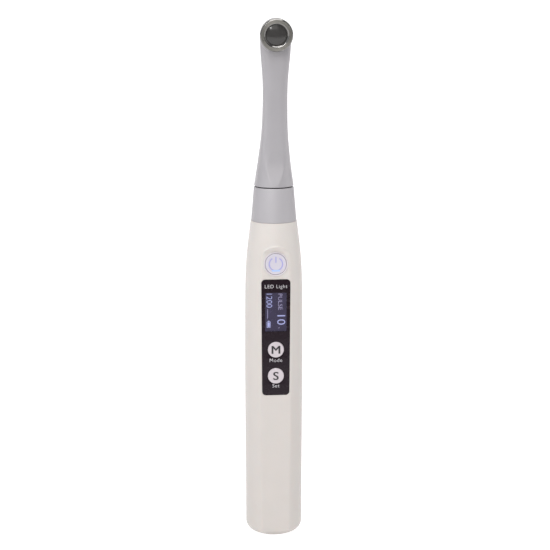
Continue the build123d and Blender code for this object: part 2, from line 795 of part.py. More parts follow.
BRUSH_GAP = 0.04  # between a brush's crown and its ring
BRUSH_THICK = 0.2
with BuildPart() as brushes:
    for z in ring_heights:
        with BuildSketch(Plane.XY.offset(z - 0.6)):
            crown = RING_R + BRUSH_GAP
            Polygon(
                (-3.2, 6.0),
                (-1.2, crown),
                (1.2, crown),
                (3.2, 6.0),
                (3.2 - BRUSH_THICK * 1.4, 6.0),
                (1.2 - BRUSH_THICK * 0.5, crown + BRUSH_THICK),
                (-1.2 + BRUSH_THICK * 0.5, crown + BRUSH_THICK),
                (-3.2 + BRUSH_THICK * 1.4, 6.0),
                align=None,
            )
        extrude(amount=1.2)
brushes.part.label = "brushes"
export_step(brushes.part, "parts/brushes.step")

# ------------------------------------------------------------------------------------
# Neck and head
# ------------------------------------------------------------------------------------
NECK_SECTIONS = (
    # height, half width, half depth, centre depth
    (NECK_FOOT_Z, 9.6, 9.6, 0),
    (184, 8.3, 8.2, -1.0),
    (192, 7.27, 7.2, -2.6),
    (202, 6.3, 6.4, -4.6),
    (212, 5.92, 5.9, -6.2),
    (221, 5.85, 5.6, -7.2),
    (231, 6.35, 5.4, -8.2),
    (240, 7.1, 5.1, -9.1),
    (246, 7.3, 4.6, -9.8),
)
LEAD_ENTRY = Vector(0, 0, 179)  # where the lead passage leaves the shaft's socket
LEAD_EXIT = Vector(0, -7.8, 241.93)  # where it opens into the head's pocket
lead_line = LEAD_EXIT - LEAD_ENTRY
HEAD_BACK = -3.2  # where the head's cylinder turns into its round back

with BuildPart() as neck_shell:
    for z, half_width, half_depth, centre_y in NECK_SECTIONS:
        with BuildSketch(Plane.XY.offset(z)):
            with Locations((0, centre_y)):
                Ellipse(half_width, half_depth)
    loft()
    # scooped front face, level from side to side
    with BuildSketch(Plane.YZ):
        with BuildLine():
            Spline((-9.78, 175), (-7.85, 186), (-8.8, 202), (-10.5, 219), (-11.5, 237), (-11.7, 250))
            Polyline((-11.7, 250), (-30, 250), (-30, 175), (-9.78, 175))
        make_face()
    extrude(amount=20, both=True, mode=Mode.SUBTRACT)
    # round head
    with BuildSketch(Plane(head_plane.origin, x_dir=head_plane.z_dir, z_dir=(1, 0, 0))):
        with BuildLine():
            Polyline((-1, 0), (-1, HEAD_R), (HEAD_BACK, HEAD_R))
            CenterArc((HEAD_BACK, 0), HEAD_R, 90, 90)
            Line((HEAD_BACK - HEAD_R, 0), (-1, 0))
        make_face()
    revolve(axis=Axis(head_plane.origin, head_plane.z_dir))
    # pocket of the light engine
    with BuildSketch(head_plane.offset(-8.5)):
        Circle(HEAD_POCKET_R)
    extrude(amount=10, mode=Mode.SUBTRACT)
    # socket of the swivel shaft
    with BuildSketch(Plane.XY.offset(NECK_FOOT_Z)):
        Circle(SHAFT_R + 0.01)
    extrude(amount=SHAFT_TOP_Z - NECK_FOOT_Z, mode=Mode.SUBTRACT)
    # passage of the leads
    with BuildSketch(Plane(LEAD_ENTRY, z_dir=lead_line)):
        Circle(NECK_BORE_R)
    extrude(amount=lead_line.length + 1.5, mode=Mode.SUBTRACT)
neck_shell.part.label = "neck_shell"
export_step(neck_shell.part, "parts/neck_shell.step")


def head_turned(*outline):
    """A turned piece of the light engine; outline points are (height on the light's axis, radius)."""
    with BuildPart() as piece:
        with BuildSketch(Plane(head_plane.origin, x_dir=head_plane.z_dir, z_dir=(1, 0, 0))):
            Polygon(*outline, align=None)
        revolve(axis=Axis(head_plane.origin, head_plane.z_dir))
    return piece.part


head_bezel = head_turned(
    (-3.0, HEAD_POCKET_R - 0.02),
    (-1.0, HEAD_POCKET_R - 0.02),
    (-1.0, BEZEL_R),
    (0.4, BEZEL_R),
    (0.8, BEZEL_R - 0.4),
    (0.8, BEZEL_OPENING_R + BEZEL_FLARE),
    (0.3, BEZEL_OPENING_R),
    (-0.2, BEZEL_OPENING_R),
    (-0.2, LENS_R + 0.05),
    (-3.0, LENS_R + 0.05),
)
head_bezel.label = "head_bezel"
export_step(head_bezel, "parts/head_bezel.step")

LENS_BACK = -2.0
LENS_FACE = -0.25
LENS_DOME_R = 4.9
LENS_DOME_HEIGHT = 1.0
with BuildPart() as output_lens:
    with BuildSketch(Plane(head_plane.origin, x_dir=head_plane.z_dir, z_dir=(1, 0, 0))):
        with BuildLine():
            dome_ball_r = (LENS_DOME_R**2 + LENS_DOME_HEIGHT**2) / (2 * LENS_DOME_HEIGHT)
            Polyline(
                (LENS_FACE + LENS_DOME_HEIGHT, 0),
                (LENS_BACK, 0),
                (LENS_BACK, LENS_R),
                (LENS_FACE, LENS_R),
                (LENS_FACE, LENS_DOME_R),
            )
            RadiusArc((LENS_FACE, LENS_DOME_R), (LENS_FACE + LENS_DOME_HEIGHT, 0), dome_ball_r)
        make_face()
    revolve(axis=Axis(head_plane.origin, head_plane.z_dir))
output_lens.part.label = "output_lens"
export_step(output_lens.part, "parts/output_lens.step")

lens_gasket = head_turned((-2.6, 4.9), (-2.6, 5.6), (LENS_BACK, 5.6), (LENS_BACK, 4.9))
lens_gasket.label = "lens_gasket"
export_step(lens_gasket, "parts/lens_gasket.step")

reflector_cup = head_turned(
    (-2.65, 4.7), (-2.65, 5.6), (-3.3, 5.6), (-5.58, 3.6), (-5.58, 2.4), (-5.0, 2.6), (-3.8, 3.6)
)
reflector_cup.label = "reflector_cup"
export_step(reflector_cup, "parts/reflector_cup.step")

led_board = head_turned((-6.6, 0), (-6.6, 6.3), (-5.6, 6.3), (-5.6, 0))
led_board.label = "led_board"
export_step(led_board, "parts/led_board.step")

CHIP_SIZE = 1.1
with BuildPart() as led_chips:
    with BuildSketch(head_plane.offset(-5.6)):
        with GridLocations(CHIP_SIZE + 0.35, CHIP_SIZE + 0.35, 2, 2):
            Rectangle(CHIP_SIZE, CHIP_SIZE)
    extrude(amount=0.35)
led_chips.part.label = "led_chips"
export_step(led_chips.part, "parts/led_chips.step")

thermal_pad = head_turned((-6.9, 0), (-6.9, 6.0), (-6.6, 6.0), (-6.6, 0))
thermal_pad.label = "thermal_pad"
export_step(thermal_pad, "parts/thermal_pad.step")

heat_slug = head_turned((-8.45, 0), (-8.45, 6.3), (-6.9, 6.3), (-6.9, 0))
heat_slug.label = "heat_slug"
export_step(heat_slug, "parts/heat_slug.step")

# ------------------------------------------------------------------------------------
# Leads
# ------------------------------------------------------------------------------------
LED_LEAD_X = 0.7
lead_end = LEAD_EXIT - lead_line.normalized() * 0.3
led_lead_pair = [
    wire([(x, 0, 164.1), (x, 0, 180.0), (x, lead_end.Y, lead_end.Z)], LEAD_R, 20)
    for x in (-LED_LEAD_X, LED_LEAD_X)
]
with BuildPart() as led_leads:
    add(led_lead_pair)
led_leads.part.label = "led_leads"
export_step(led_leads.part, "parts/led_leads.step")


def brush_lead(x):
    """From the foot of the brush block, under the slip ring, to the back of the board."""
    route = [(x, 7.2, 147), (x, 7.2, 144.9), (x, -4.6, 144.9), (x, -5.4, 142.6), (x, -6.2, 142.6)]
    return wire(route, 0.4, [0.9, 0.9, 0.3])


brush_lead_set = [brush_lead(x) for x in (-2.2, 0, 2.2)]
with BuildPart() as brush_leads:
    add(brush_lead_set)
brush_leads.part.label = "brush_leads"
export_step(brush_leads.part, "parts/brush_leads.step")

SOCKET_Y = -4.2
upper_route = [(1.8, 2.5, 73.15), (1.8, 2.5, 75.4), (1.8, SOCKET_Y, 76.2), (1.8, SOCKET_Y, 78.5)]
lower_route = [
    (-2.3, 2.0, 7.4),
    (-10.5, 2.0, 7.4),
    (-10.5, -1.0, 12),
    (-10.5, -1.0, 73.5),
    (-6.0, SOCKET_Y, 76.0),
    (-1.8, SOCKET_Y, 76.0),
    (-1.8, SOCKET_Y, 78.5),
]
upper_lead = wire(upper_route, LEAD_R, [1.2, 0.9])
lower_lead = wire(lower_route, LEAD_R, [0.9, 2.0, 3.0, 1.2, 0.9])
with BuildPart() as battery_leads:
    add(upper_lead)
    add(lower_lead)
battery_leads.part.label = "battery_leads"
export_step(battery_leads.part, "parts/battery_leads.step")


def charge_lead(side):
    """From a charging pin, up between cell and housing, to the back of the board."""
    route = [
        (side * CHARGE_PIN_X, CHARGE_PIN_Y, 5.1),
        (side * CHARGE_PIN_X, CHARGE_PIN_Y, 5.45),
        (side * 8.6, -5.8, 5.6),
        (side * 8.6, -5.8, 76.0),
        (side * 6.6, -5.88, 79.0),
        (side * 6.6, -5.88, 81.0),
    ]
    return wire(route, 0.3, [0.3, 0.6, 1.5, 1.5])


charge_lead_pair = [charge_lead(side) for side in (-1, 1)]
with BuildPart() as charge_leads:
    add(charge_lead_pair)
charge_leads.part.label = "charge_leads"
export_step(charge_leads.part, "parts/charge_leads.step")
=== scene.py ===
"""Looks of a cordless dental curing light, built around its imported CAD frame."""

import math

import bmesh
import bpy
import numpy as np
from mathutils import Matrix, Quaternion, Vector


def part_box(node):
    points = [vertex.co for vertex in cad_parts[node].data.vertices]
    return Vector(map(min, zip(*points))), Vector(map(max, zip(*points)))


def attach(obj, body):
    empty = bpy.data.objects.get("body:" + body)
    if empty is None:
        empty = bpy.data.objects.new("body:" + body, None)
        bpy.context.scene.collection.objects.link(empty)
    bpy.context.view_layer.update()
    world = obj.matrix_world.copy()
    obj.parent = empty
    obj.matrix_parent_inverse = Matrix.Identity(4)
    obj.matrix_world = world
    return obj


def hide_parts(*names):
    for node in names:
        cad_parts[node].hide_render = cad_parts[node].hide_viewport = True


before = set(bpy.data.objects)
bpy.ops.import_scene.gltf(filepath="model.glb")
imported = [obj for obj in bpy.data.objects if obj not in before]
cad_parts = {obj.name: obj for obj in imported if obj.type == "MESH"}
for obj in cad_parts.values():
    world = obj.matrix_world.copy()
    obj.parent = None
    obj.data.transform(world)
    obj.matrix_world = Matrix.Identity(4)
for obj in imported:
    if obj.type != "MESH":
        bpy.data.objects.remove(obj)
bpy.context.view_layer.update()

MM = 0.001  # lengths below are in millimetres and leave this file's helpers in metres


# ------------------------------------------------------------------------------------
# Camera: level with the head, looking down the handle, a little from the left
# ------------------------------------------------------------------------------------
AZIMUTH = math.radians(-5.0)
PITCH = math.radians(12.0)
ROLL = math.radians(0.03)
CAMERA_DISTANCE = 620.3
CAMERA_HEIGHT = 262.9
CAMERA_SIDESTEP = 0.62
FOCAL_LENGTH = 84.7


def make_camera():
    data = bpy.data.cameras.new("camera")
    data.sensor_width = 36.0
    data.lens = FOCAL_LENGTH
    data.clip_start = 0.01
    camera = bpy.data.objects.new("camera", data)
    bpy.context.scene.collection.objects.link(camera)
    forward = Vector((
        -math.sin(AZIMUTH) * math.cos(PITCH),
        math.cos(AZIMUTH) * math.cos(PITCH),
        -math.sin(PITCH),
    ))
    right = Vector((math.cos(AZIMUTH), math.sin(AZIMUTH), 0))
    level = Vector((math.sin(AZIMUTH), -math.cos(AZIMUTH), 0)) * CAMERA_DISTANCE
    place = level + Vector((0, 0, CAMERA_HEIGHT)) + right * CAMERA_SIDESTEP
    camera.location = place * MM
    camera.rotation_mode = "QUATERNION"
    aim = forward.to_track_quat("-Z", "Y")
    camera.rotation_quaternion = aim @ Matrix.Rotation(ROLL, 3, "Z").to_quaternion()
    bpy.context.scene.camera = camera


make_camera()


# ------------------------------------------------------------------------------------
# Sizes, in millimetres, taken from the frame where a node gives them
# ------------------------------------------------------------------------------------
def span(node):
    """Lowest and highest corner of a CAD node, in millimetres."""
    low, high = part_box(node)
    return Vector(low) / MM, Vector(high) / MM


SHOULDER_Z = span("collar")[0].z
COLLAR_TOP_Z = span("collar")[1].z
NECK_FOOT_Z = span("neck_shell")[0].z
PANEL_FOOT_Z = span("control_panel")[0].z
PANEL_TOP_Z = span("control_panel")[1].z
SCREEN_Z = (span("display_glass")[0].z + span("display_glass")[1].z) / 2
MODE_Z = (span("mode_key")[0].z + span("mode_key")[1].z) / 2
SET_Z = (span("set_key")[0].z + span("set_key")[1].z) / 2
SCREEN_FACE_Y = span("display_glass")[0].y

FLAT_Y = -12.2
FLAT_TOP_Z = 118.0
FLAT_END_Y = -10.95
FLAT_END_Z = 150.0
FLAT_WALL = 1.8
ARCH_R = 7.4
ARCH_CENTRE_Z = 139.9
ARCH_RISE = 6.95  # height of the arch above its centre
POWER_Z = 138.9
HEAD_TILT = math.radians(11.0)
HEAD_CENTRE = Vector((0, -15.0, 247.0))
HEAD_R = 7.3
HEAD_BACK = -3.2
HEAD_AXIS = Vector((0, -math.cos(HEAD_TILT), -math.sin(HEAD_TILT)))
HEAD_UP = Vector((0, -math.sin(HEAD_TILT), math.cos(HEAD_TILT)))


def flat_radius():
    """Radius of the arc along which the front flat leans back."""
    rise = FLAT_END_Z - FLAT_TOP_Z
    lean = FLAT_END_Y - FLAT_Y
    return (rise**2 + lean**2) / (2 * lean)


def flat_y(z):
    """Depth of the front flat at height z."""
    over = np.maximum(0.0, np.asarray(z, dtype=float) - FLAT_TOP_Z)
    radius = flat_radius()
    return FLAT_Y + radius - np.sqrt(radius**2 - over**2)


def smooth_max(a, b, k):
    """The larger of two distances, rounded over a width of about k where they meet."""
    h = np.clip(0.5 + 0.5 * (a - b) / k, 0, 1)
    return b + (a - b) * h + k * h * (1 - h)


def smooth_min(a, b, k):
    return -smooth_max(-a, -b, k)


def reach(inside, origins, directions, far=22.0):
    """How far each ray goes before the function inside(point) turns positive."""
    low = np.zeros(len(origins))
    high = np.full(len(origins), far)
    for _ in range(26):
        mid = (low + high) / 2
        p = origins + directions * mid[:, None]
        out = inside(p[:, 0], p[:, 1], p[:, 2]) > 0
        high = np.where(out, mid, high)
        low = np.where(out, low, mid)
    return (low + high) / 2


# ------------------------------------------------------------------------------------
# Mesh helpers
# ------------------------------------------------------------------------------------
def add_object(name, mesh):
    thing = bpy.data.objects.new(name, mesh)
    bpy.context.scene.collection.objects.link(thing)
    return thing


def finish_mesh(mesh, sharp=35.0):
    """Smooth shading that breaks at edges sharper than the given angle, in degrees."""
    mesh.validate()
    mesh.shade_smooth()
    mesh.set_sharp_from_angle(angle=math.radians(sharp))


def mesh_object(name, points, faces, sharp=35.0):
    """An object from points in millimetres."""
    mesh = bpy.data.meshes.new(name)
    mesh.from_pydata([tuple(float(c) * MM for c in p) for p in points], [], faces)
    finish_mesh(mesh, sharp)
    return add_object(name, mesh)


def fix_normals(thing):
    work = bmesh.new()
    work.from_mesh(thing.data)
    bmesh.ops.remove_doubles(work, verts=work.verts, dist=1e-7)
    bmesh.ops.recalc_face_normals(work, faces=work.faces)
    work.to_mesh(thing.data)
    work.free()


def apply_modifiers(thing, sharp=35.0):
    """Turns an object's modifiers into its mesh."""
    graph = bpy.context.evaluated_depsgraph_get()
    graph.update()
    mesh = bpy.data.meshes.new_from_object(thing.evaluated_get(graph))
    thing.modifiers.clear()
    old = thing.data
    thing.data = mesh
    bpy.data.meshes.remove(old)
    finish_mesh(mesh, sharp)


def cut(thing, *cutters, sharp=35.0):
    """Takes closed cutters out of a closed object and deletes them."""
    for cutter in cutters:
        boolean = thing.modifiers.new("cut", "BOOLEAN")
        boolean.operation = "DIFFERENCE"
        boolean.solver = "EXACT"
        boolean.object = cutter
        apply_modifiers(thing, sharp)
        mesh = cutter.data
        bpy.data.objects.remove(cutter)
        bpy.data.meshes.remove(mesh)


def ring_skin(rings, closed=True):
    """Points and quads of a skin over rings that all have the same number of points."""
    count = len(rings[0])
    points = np.concatenate(rings)
    faces = []
    last = count if closed else count - 1
    for r in range(len(rings) - 1):
        for c in range(last):
            d = (c + 1) % count
            faces.append((r * count + c, r * count + d, (r + 1) * count + d, (r + 1) * count + c))
    return points, faces


def lathe(name, profile, origin=Vector((0, 0, 0)), axis=Vector((0, 0, 1)), steps=160, sharp=35.0):
    """Turns a closed or axis-to-axis profile of (height along axis, radius) about the axis."""
    side = Vector((1, 0, 0))
    other = axis.cross(side)
    points, faces, start = [], [], []
    for height, radius in profile:
        start.append(len(points))
        if radius < 1e-6:
            points.append(origin + axis * height)
            continue
        for s in range(steps):
            a = 2 * math.pi * s / steps
            points.append(
                origin + axis * height + (side * math.cos(a) + other * math.sin(a)) * radius
            )
    for k in range(len(profile)):
        n = (k + 1) % len(profile)
        one, two = profile[k][1] < 1e-6, profile[n][1] < 1e-6
        if one and two:
            continue
        for s in range(steps):
            t = (s + 1) % steps
            if one:
                faces.append((start[k], start[n] + t, start[n] + s))
            elif two:
                faces.append((start[k] + s, start[k] + t, start[n]))
            else:
                faces.append((start[k] + s, start[k] + t, start[n] + t, start[n] + s))
    thing = mesh_object(name, points, faces, sharp)
    fix_normals(thing)
    finish_mesh(thing.data, sharp)
    return thing


def arc(centre, radius, start, end, count):
    """Points of an arc in a profile; angles are in degrees."""
    angles = np.radians(np.linspace(start, end, count))
    return [(centre[0] + radius * math.cos(a), centre[1] + radius * math.sin(a)) for a in angles]


def curve_solid(name, outlines, half_thick, bevel=0.0):
    """A flat solid from closed outlines in a plane; inner outlines become holes."""
    data = bpy.data.curves.new(name, "CURVE")
    data.dimensions = "2D"
    data.fill_mode = "BOTH"
    data.extrude = half_thick - bevel
    data.bevel_depth = bevel
    data.bevel_resolution = 3
    for outline in outlines:
        line = data.splines.new("POLY")
        line.points.add(len(outline) - 1)
        for point, (x, y) in zip(line.points, outline):
            point.co = (x, y, 0, 1)
        line.use_cyclic_u = True
    holder = bpy.data.objects.new(name, data)
    bpy.context.scene.collection.objects.link(holder)
    graph = bpy.context.evaluated_depsgraph_get()
    graph.update()
    mesh = bpy.data.meshes.new_from_object(holder.evaluated_get(graph))
    bpy.data.objects.remove(holder)
    bpy.data.curves.remove(data)
    return add_object(name, mesh)


def stand_up(thing, place):
    """Takes a flat solid from its XY plane to face -Y, by the function place(x, up, out)."""
    for vertex in thing.data.vertices:
        x, up, out = vertex.co
        vertex.co = Vector(place(x, up, out)) * MM


def circle_outline(x, z, radius, count=96):
    angles = np.linspace(0, 2 * math.pi, count, endpoint=False)
    return [(x + radius * math.cos(a), z + radius * math.sin(a)) for a in angles]


def rectangle_outline(x, z, width, height, radius=0.0, count=8):
    """A rectangle, or one with rounded corners."""
    if radius <= 0:
        w, h = width / 2, height / 2
        return [(x - w, z - h), (x + w, z - h), (x + w, z + h), (x - w, z + h)]
    corners = ((1, 1, 0), (-1, 1, 90), (-1, -1, 180), (1, -1, 270))
    outline = []
    for sx, sz, turn in corners:
        cx = x + sx * (width / 2 - radius)
        cz = z + sz * (height / 2 - radius)
        outline += arc((cx, cz), radius, turn, turn + 90, count)
    return outline


# ------------------------------------------------------------------------------------
# Materials: every surface gets grain, tone and roughness that vary in the object's space
# ------------------------------------------------------------------------------------
def linear(red, green, blue):
    """A screen colour, 0 to 255, as linear light."""
    parts = []
    for value in (red, green, blue):
        c = value / 255
        parts.append(c / 12.92 if c <= 0.04045 else ((c + 0.055) / 1.055) ** 2.4)
    return (*parts, 1.0)


def shader_of(material):
    return next(n for n in material.node_tree.nodes if n.type == "BSDF_PRINCIPLED")


def noise(tree, scale, detail, stretch=(1, 1, 1)):
    """Noise in the object's own space; scale is in features per metre."""
    place = tree.nodes.new("ShaderNodeTexCoord")
    mapping = tree.nodes.new("ShaderNodeMapping")
    mapping.inputs["Scale"].default_value = stretch
    texture = tree.nodes.new("ShaderNodeTexNoise")
    texture.inputs["Scale"].default_value = scale
    texture.inputs["Detail"].default_value = detail
    tree.links.new(place.outputs["Object"], mapping.inputs["Vector"])
    tree.links.new(mapping.outputs["Vector"], texture.inputs["Vector"])
    return texture.outputs["Fac"]


def remap(tree, source, low, high, start=0.3, end=0.7):
    """A texture value stretched to run from low to high."""
    node = tree.nodes.new("ShaderNodeMapRange")
    node.inputs["From Min"].default_value = start
    node.inputs["From Max"].default_value = end
    node.inputs["To Min"].default_value = low
    node.inputs["To Max"].default_value = high
    tree.links.new(source, node.inputs["Value"])
    return node.outputs["Result"]


def blend_colours(tree, factor, one, two):
    node = tree.nodes.new("ShaderNodeMix")
    node.data_type = "RGBA"
    node.inputs[6].default_value = one
    node.inputs[7].default_value = two
    tree.links.new(factor, node.inputs[0])
    return node.outputs[2]


def paint_shade_low(material, top, amount):
    """Paints shade into a surface's colour, darker towards the floor: amount is the strength there,
    top its reach in mm.
    """
    tree = material.node_tree
    shader = shader_of(material)
    tone = shader.inputs["Base Color"].links[0].from_socket
    place = tree.nodes.new("ShaderNodeTexCoord")
    split = tree.nodes.new("ShaderNodeSeparateXYZ")
    tree.links.new(place.outputs["Object"], split.inputs["Vector"])
    near_floor = remap(tree, split.outputs["Z"], amount, 0.0, 0.0, top * MM)
    # painted shade: the colour is multiplied towards a dark brown near the floor
    painted_shade = tree.nodes.new("ShaderNodeMix")
    painted_shade.data_type = "RGBA"
    painted_shade.blend_type = "MULTIPLY"
    tree.links.new(near_floor, painted_shade.inputs[0])
    tree.links.new(tone, painted_shade.inputs[6])
    painted_shade.inputs[7].default_value = (0.3, 0.28, 0.27, 1)
    tree.links.new(painted_shade.outputs[2], shader.inputs["Base Color"])


def darker(colour, factor):
    return (colour[0] * factor, colour[1] * factor, colour[2] * factor, 1.0)


CLOUDS = 90  # clouds of tone per metre
WEAR = 420  # patches of gloss per metre


def surface(name, colour, roughness, metallic=0.0, **more):
    """A surface with fine grain, cloudy tone and patchy gloss.

    grain: features per metre, bump: height of the grain in millimetres, mottle: how much
    the tone varies, patch: how much the gloss varies, stretch: direction of the grain.
    """
    grain = more.get("grain", 2600)
    stretch = more.get("stretch", (1, 1, 1))
    material = bpy.data.materials.new(name)
    material.use_nodes = True
    tree = material.node_tree
    shader = shader_of(material)
    shader.inputs["Metallic"].default_value = metallic
    shader.inputs["Coat Weight"].default_value = more.get("coat", 0.0)
    shader.inputs["Coat Roughness"].default_value = more.get("coat_roughness", 0.1)
    shader.inputs["Specular IOR Level"].default_value = more.get("specular", 0.5)
    shader.inputs["Transmission Weight"].default_value = more.get("transmission", 0.0)
    shader.inputs["IOR"].default_value = more.get("ior", 1.5)
    shader.inputs["Subsurface Weight"].default_value = more.get("subsurface", 0.0)
    shader.inputs["Subsurface Scale"].default_value = 0.0015
    mottle = more.get("mottle", 0.04)
    clouds = noise(tree, CLOUDS, 3)
    tone = blend_colours(
        tree, remap(tree, clouds, 0, 1),
        darker(colour, 1 - mottle), darker(colour, 1 + mottle * 0.5),
    )
    fine = noise(tree, grain, 4, stretch)
    speckle = tree.nodes.new("ShaderNodeMix")
    speckle.data_type = "RGBA"
    speckle.blend_type = "MULTIPLY"
    tree.links.new(remap(tree, fine, 0, more.get("speckle", 0.06)), speckle.inputs[0])
    tree.links.new(tone, speckle.inputs[6])
    speckle.inputs[7].default_value = (0.5, 0.5, 0.5, 1)
    tree.links.new(speckle.outputs[2], shader.inputs["Base Color"])
    patch = more.get("patch", 0.05)
    worn = noise(tree, WEAR, 5)
    gloss = remap(tree, worn, max(0.02, roughness - patch), roughness + patch)
    tree.links.new(gloss, shader.inputs["Roughness"])
    bump = tree.nodes.new("ShaderNodeBump")
    bump.inputs["Strength"].default_value = 1.0
    bump.inputs["Distance"].default_value = more.get("bump", 0.004) * MM
    tree.links.new(fine, bump.inputs["Height"])
    tree.links.new(bump.outputs["Normal"], shader.inputs["Normal"])
    return material


def turned_finish(material, centre, axis, amount):
    """Stretches the gloss across the circular tool marks of a piece turned about an axis."""
    tree = material.node_tree
    place = tree.nodes.new("ShaderNodeTexCoord")
    offset = tree.nodes.new("ShaderNodeVectorMath")
    offset.operation = "SUBTRACT"
    offset.inputs[1].default_value = centre * MM
    around = tree.nodes.new("ShaderNodeVectorMath")
    around.operation = "CROSS_PRODUCT"
    around.inputs[0].default_value = axis
    unit = tree.nodes.new("ShaderNodeVectorMath")
    unit.operation = "NORMALIZE"
    tree.links.new(place.outputs["Object"], offset.inputs[0])
    tree.links.new(offset.outputs["Vector"], around.inputs[1])
    tree.links.new(around.outputs["Vector"], unit.inputs[0])
    shader = shader_of(material)
    tree.links.new(unit.outputs["Vector"], shader.inputs["Tangent"])
    shader.inputs["Anisotropic"].default_value = amount
    shader.inputs["Anisotropic Rotation"].default_value = 0.25


def glow(material, colour, strength):
    """Makes a surface give light, with the patchiness of a screen."""
    tree = material.node_tree
    shader = shader_of(material)
    cells = noise(tree, 5200, 1)
    tone = blend_colours(tree, remap(tree, cells, 0, 1), darker(colour, 0.86), colour)
    tree.links.new(tone, shader.inputs["Emission Color"])
    shader.inputs["Emission Strength"].default_value = strength


WHITE = surface(
    "white_plastic", linear(213, 207, 202), 0.4, grain=3400, bump=0.003, speckle=0.03,
    mottle=0.015, specular=0.35, subsurface=0.05,
)
BASE_WHITE = surface("base_plastic", linear(214, 210, 206), 0.5, grain=2200, bump=0.008)
NECK_GREY = surface(
    "neck_finish", linear(180, 177, 180), 0.42, metallic=0.3, grain=5200, bump=0.003,
    speckle=0.05, mottle=0.02, patch=0.06,
)
COLLAR_GREY = surface(
    "collar_finish", linear(179, 176, 179), 0.5, metallic=0.15, grain=5200, bump=0.003,
    speckle=0.05, mottle=0.02,
)
BEZEL_STEEL = surface(
    "bezel_steel", linear(170, 167, 159), 0.3, metallic=1.0, grain=2400, bump=0.0015,
    speckle=0.05, patch=0.04,
)
BEZEL_POLISH = surface(
    "bezel_polish", linear(128, 126, 124), 0.14, metallic=1.0, grain=1600, bump=0.001,
    speckle=0.06, patch=0.03,
)
LENS_GLASS = surface(
    "lens_glass", linear(84, 82, 80), 0.16, transmission=0.5, ior=1.49, grain=900,
    bump=0.0004, speckle=0.02, patch=0.02,
)
WINDOW = surface(
    "window_acrylic", linear(196, 192, 208), 0.05, transmission=1.0, ior=1.2, grain=900,
    bump=0.0004, speckle=0.02, patch=0.02, specular=0.25,
)
SEAL = surface("seal_rubber", linear(34, 34, 36), 0.75, grain=3000, bump=0.01)
REFLECTOR = surface(
    "reflector_plating", linear(120, 120, 120), 0.3, metallic=1.0, grain=1800, bump=0.002
)
COPPER_BOARD = surface("led_board", linear(62, 64, 62), 0.4, metallic=0.3, speckle=0.2)
LED_DIE = surface("led_die", linear(120, 116, 88), 0.3, coat=0.5, speckle=0.1)
GUM = surface("thermal_gum", linear(150, 158, 168), 0.8, grain=1500, bump=0.02)
TURNED = surface(
    "turned_aluminium", linear(178, 180, 182), 0.34, metallic=1.0, grain=700,
    stretch=(1, 1, 14), bump=0.006, speckle=0.12,
)
LEAD_RED = surface("lead_insulation", linear(150, 34, 30), 0.45, grain=1800, bump=0.004)
SHAFT_STEEL = surface(
    "shaft_steel", linear(168, 168, 170), 0.24, metallic=1.0, grain=900,
    stretch=(1, 1, 18), bump=0.003, speckle=0.1,
)
ACETAL = surface("acetal", linear(232, 230, 224), 0.38, grain=1400, bump=0.005)
BRASS = surface("contact_brass", linear(214, 176, 98), 0.22, metallic=1.0, speckle=0.15)
CELL_WRAP = surface(
    "cell_wrap", linear(36, 84, 150), 0.28, grain=1600, bump=0.008, coat=0.3, mottle=0.08
)
BOARD_GREEN = surface(
    "board_green", linear(18, 86, 52), 0.32, grain=2400, bump=0.01, mottle=0.18, coat=0.35
)
CHIP_BLACK = surface("component_black", linear(30, 30, 32), 0.55, grain=3600, bump=0.006)
CAP_TAN = surface("component_tan", linear(168, 134, 92), 0.4, grain=2600, bump=0.006)
NYLON = surface("socket_nylon", linear(226, 220, 200), 0.5, grain=1800, bump=0.006)
PANEL_BLACK = surface(
    "panel_black", linear(30, 18, 26), 0.26, grain=3000, bump=0.0015, speckle=0.1,
    mottle=0.05, specular=0.22,
)
SCREEN = surface("screen_cells", linear(60, 58, 76), 0.4, grain=6500, bump=0.001, specular=0.2)
DISPLAY_BODY = surface("display_body", linear(196, 198, 200), 0.4, grain=1700, bump=0.005)
RIBBON = surface("ribbon_film", linear(186, 110, 34), 0.35, grain=1200, bump=0.006, coat=0.3)
RING_GREY = surface(
    "ring_plastic", linear(216, 209, 214), 0.35, grain=3000, bump=0.002, speckle=0.04
)
CAP_WHITE = surface(
    "power_cap", linear(207, 202, 213), 0.34, grain=3000, bump=0.002, speckle=0.03,
    mottle=0.02, coat=0.3, coat_roughness=0.2, subsurface=0.05,
)
KEY_GREY = surface(
    "key_grey", linear(202, 193, 197), 0.4, grain=3400, bump=0.003, speckle=0.04
)
INK_BLACK = surface("key_ink", linear(34, 30, 34), 0.6, grain=5000, bump=0.001, speckle=0.2)
INK_WHITE = surface("label_ink", linear(226, 222, 226), 0.6, grain=5000, bump=0.001)
ICON = surface("icon_lavender", linear(166, 165, 214), 0.35, grain=3000, bump=0.001)
PATCH_BLUE = surface("icon_lamp", linear(160, 188, 232), 0.3, grain=2600, bump=0.001)
DIGITS = surface("screen_segments", linear(176, 190, 224), 0.5, grain=6500, bump=0.001)
DIM_DIGITS = surface("dim_segments", linear(150, 148, 176), 0.5, grain=6500, bump=0.001)
glow(SCREEN, linear(88, 84, 97), 0.95)
glow(DIGITS, linear(206, 214, 244), 1.15)
glow(DIM_DIGITS, linear(196, 193, 208), 1.3)
glow(PATCH_BLUE, linear(150, 186, 246), 0.2)

# painted shade: the white housing darkens gently towards its base over most of its height
paint_shade_low(WHITE, 150.0, 0.25)
# painted shade: a strong darkening at the foot, standing in for the contact shadow on the floor
paint_shade_low(WHITE, 2.6, 0.5)
turned_finish(BEZEL_STEEL, HEAD_CENTRE, HEAD_AXIS, 0.75)

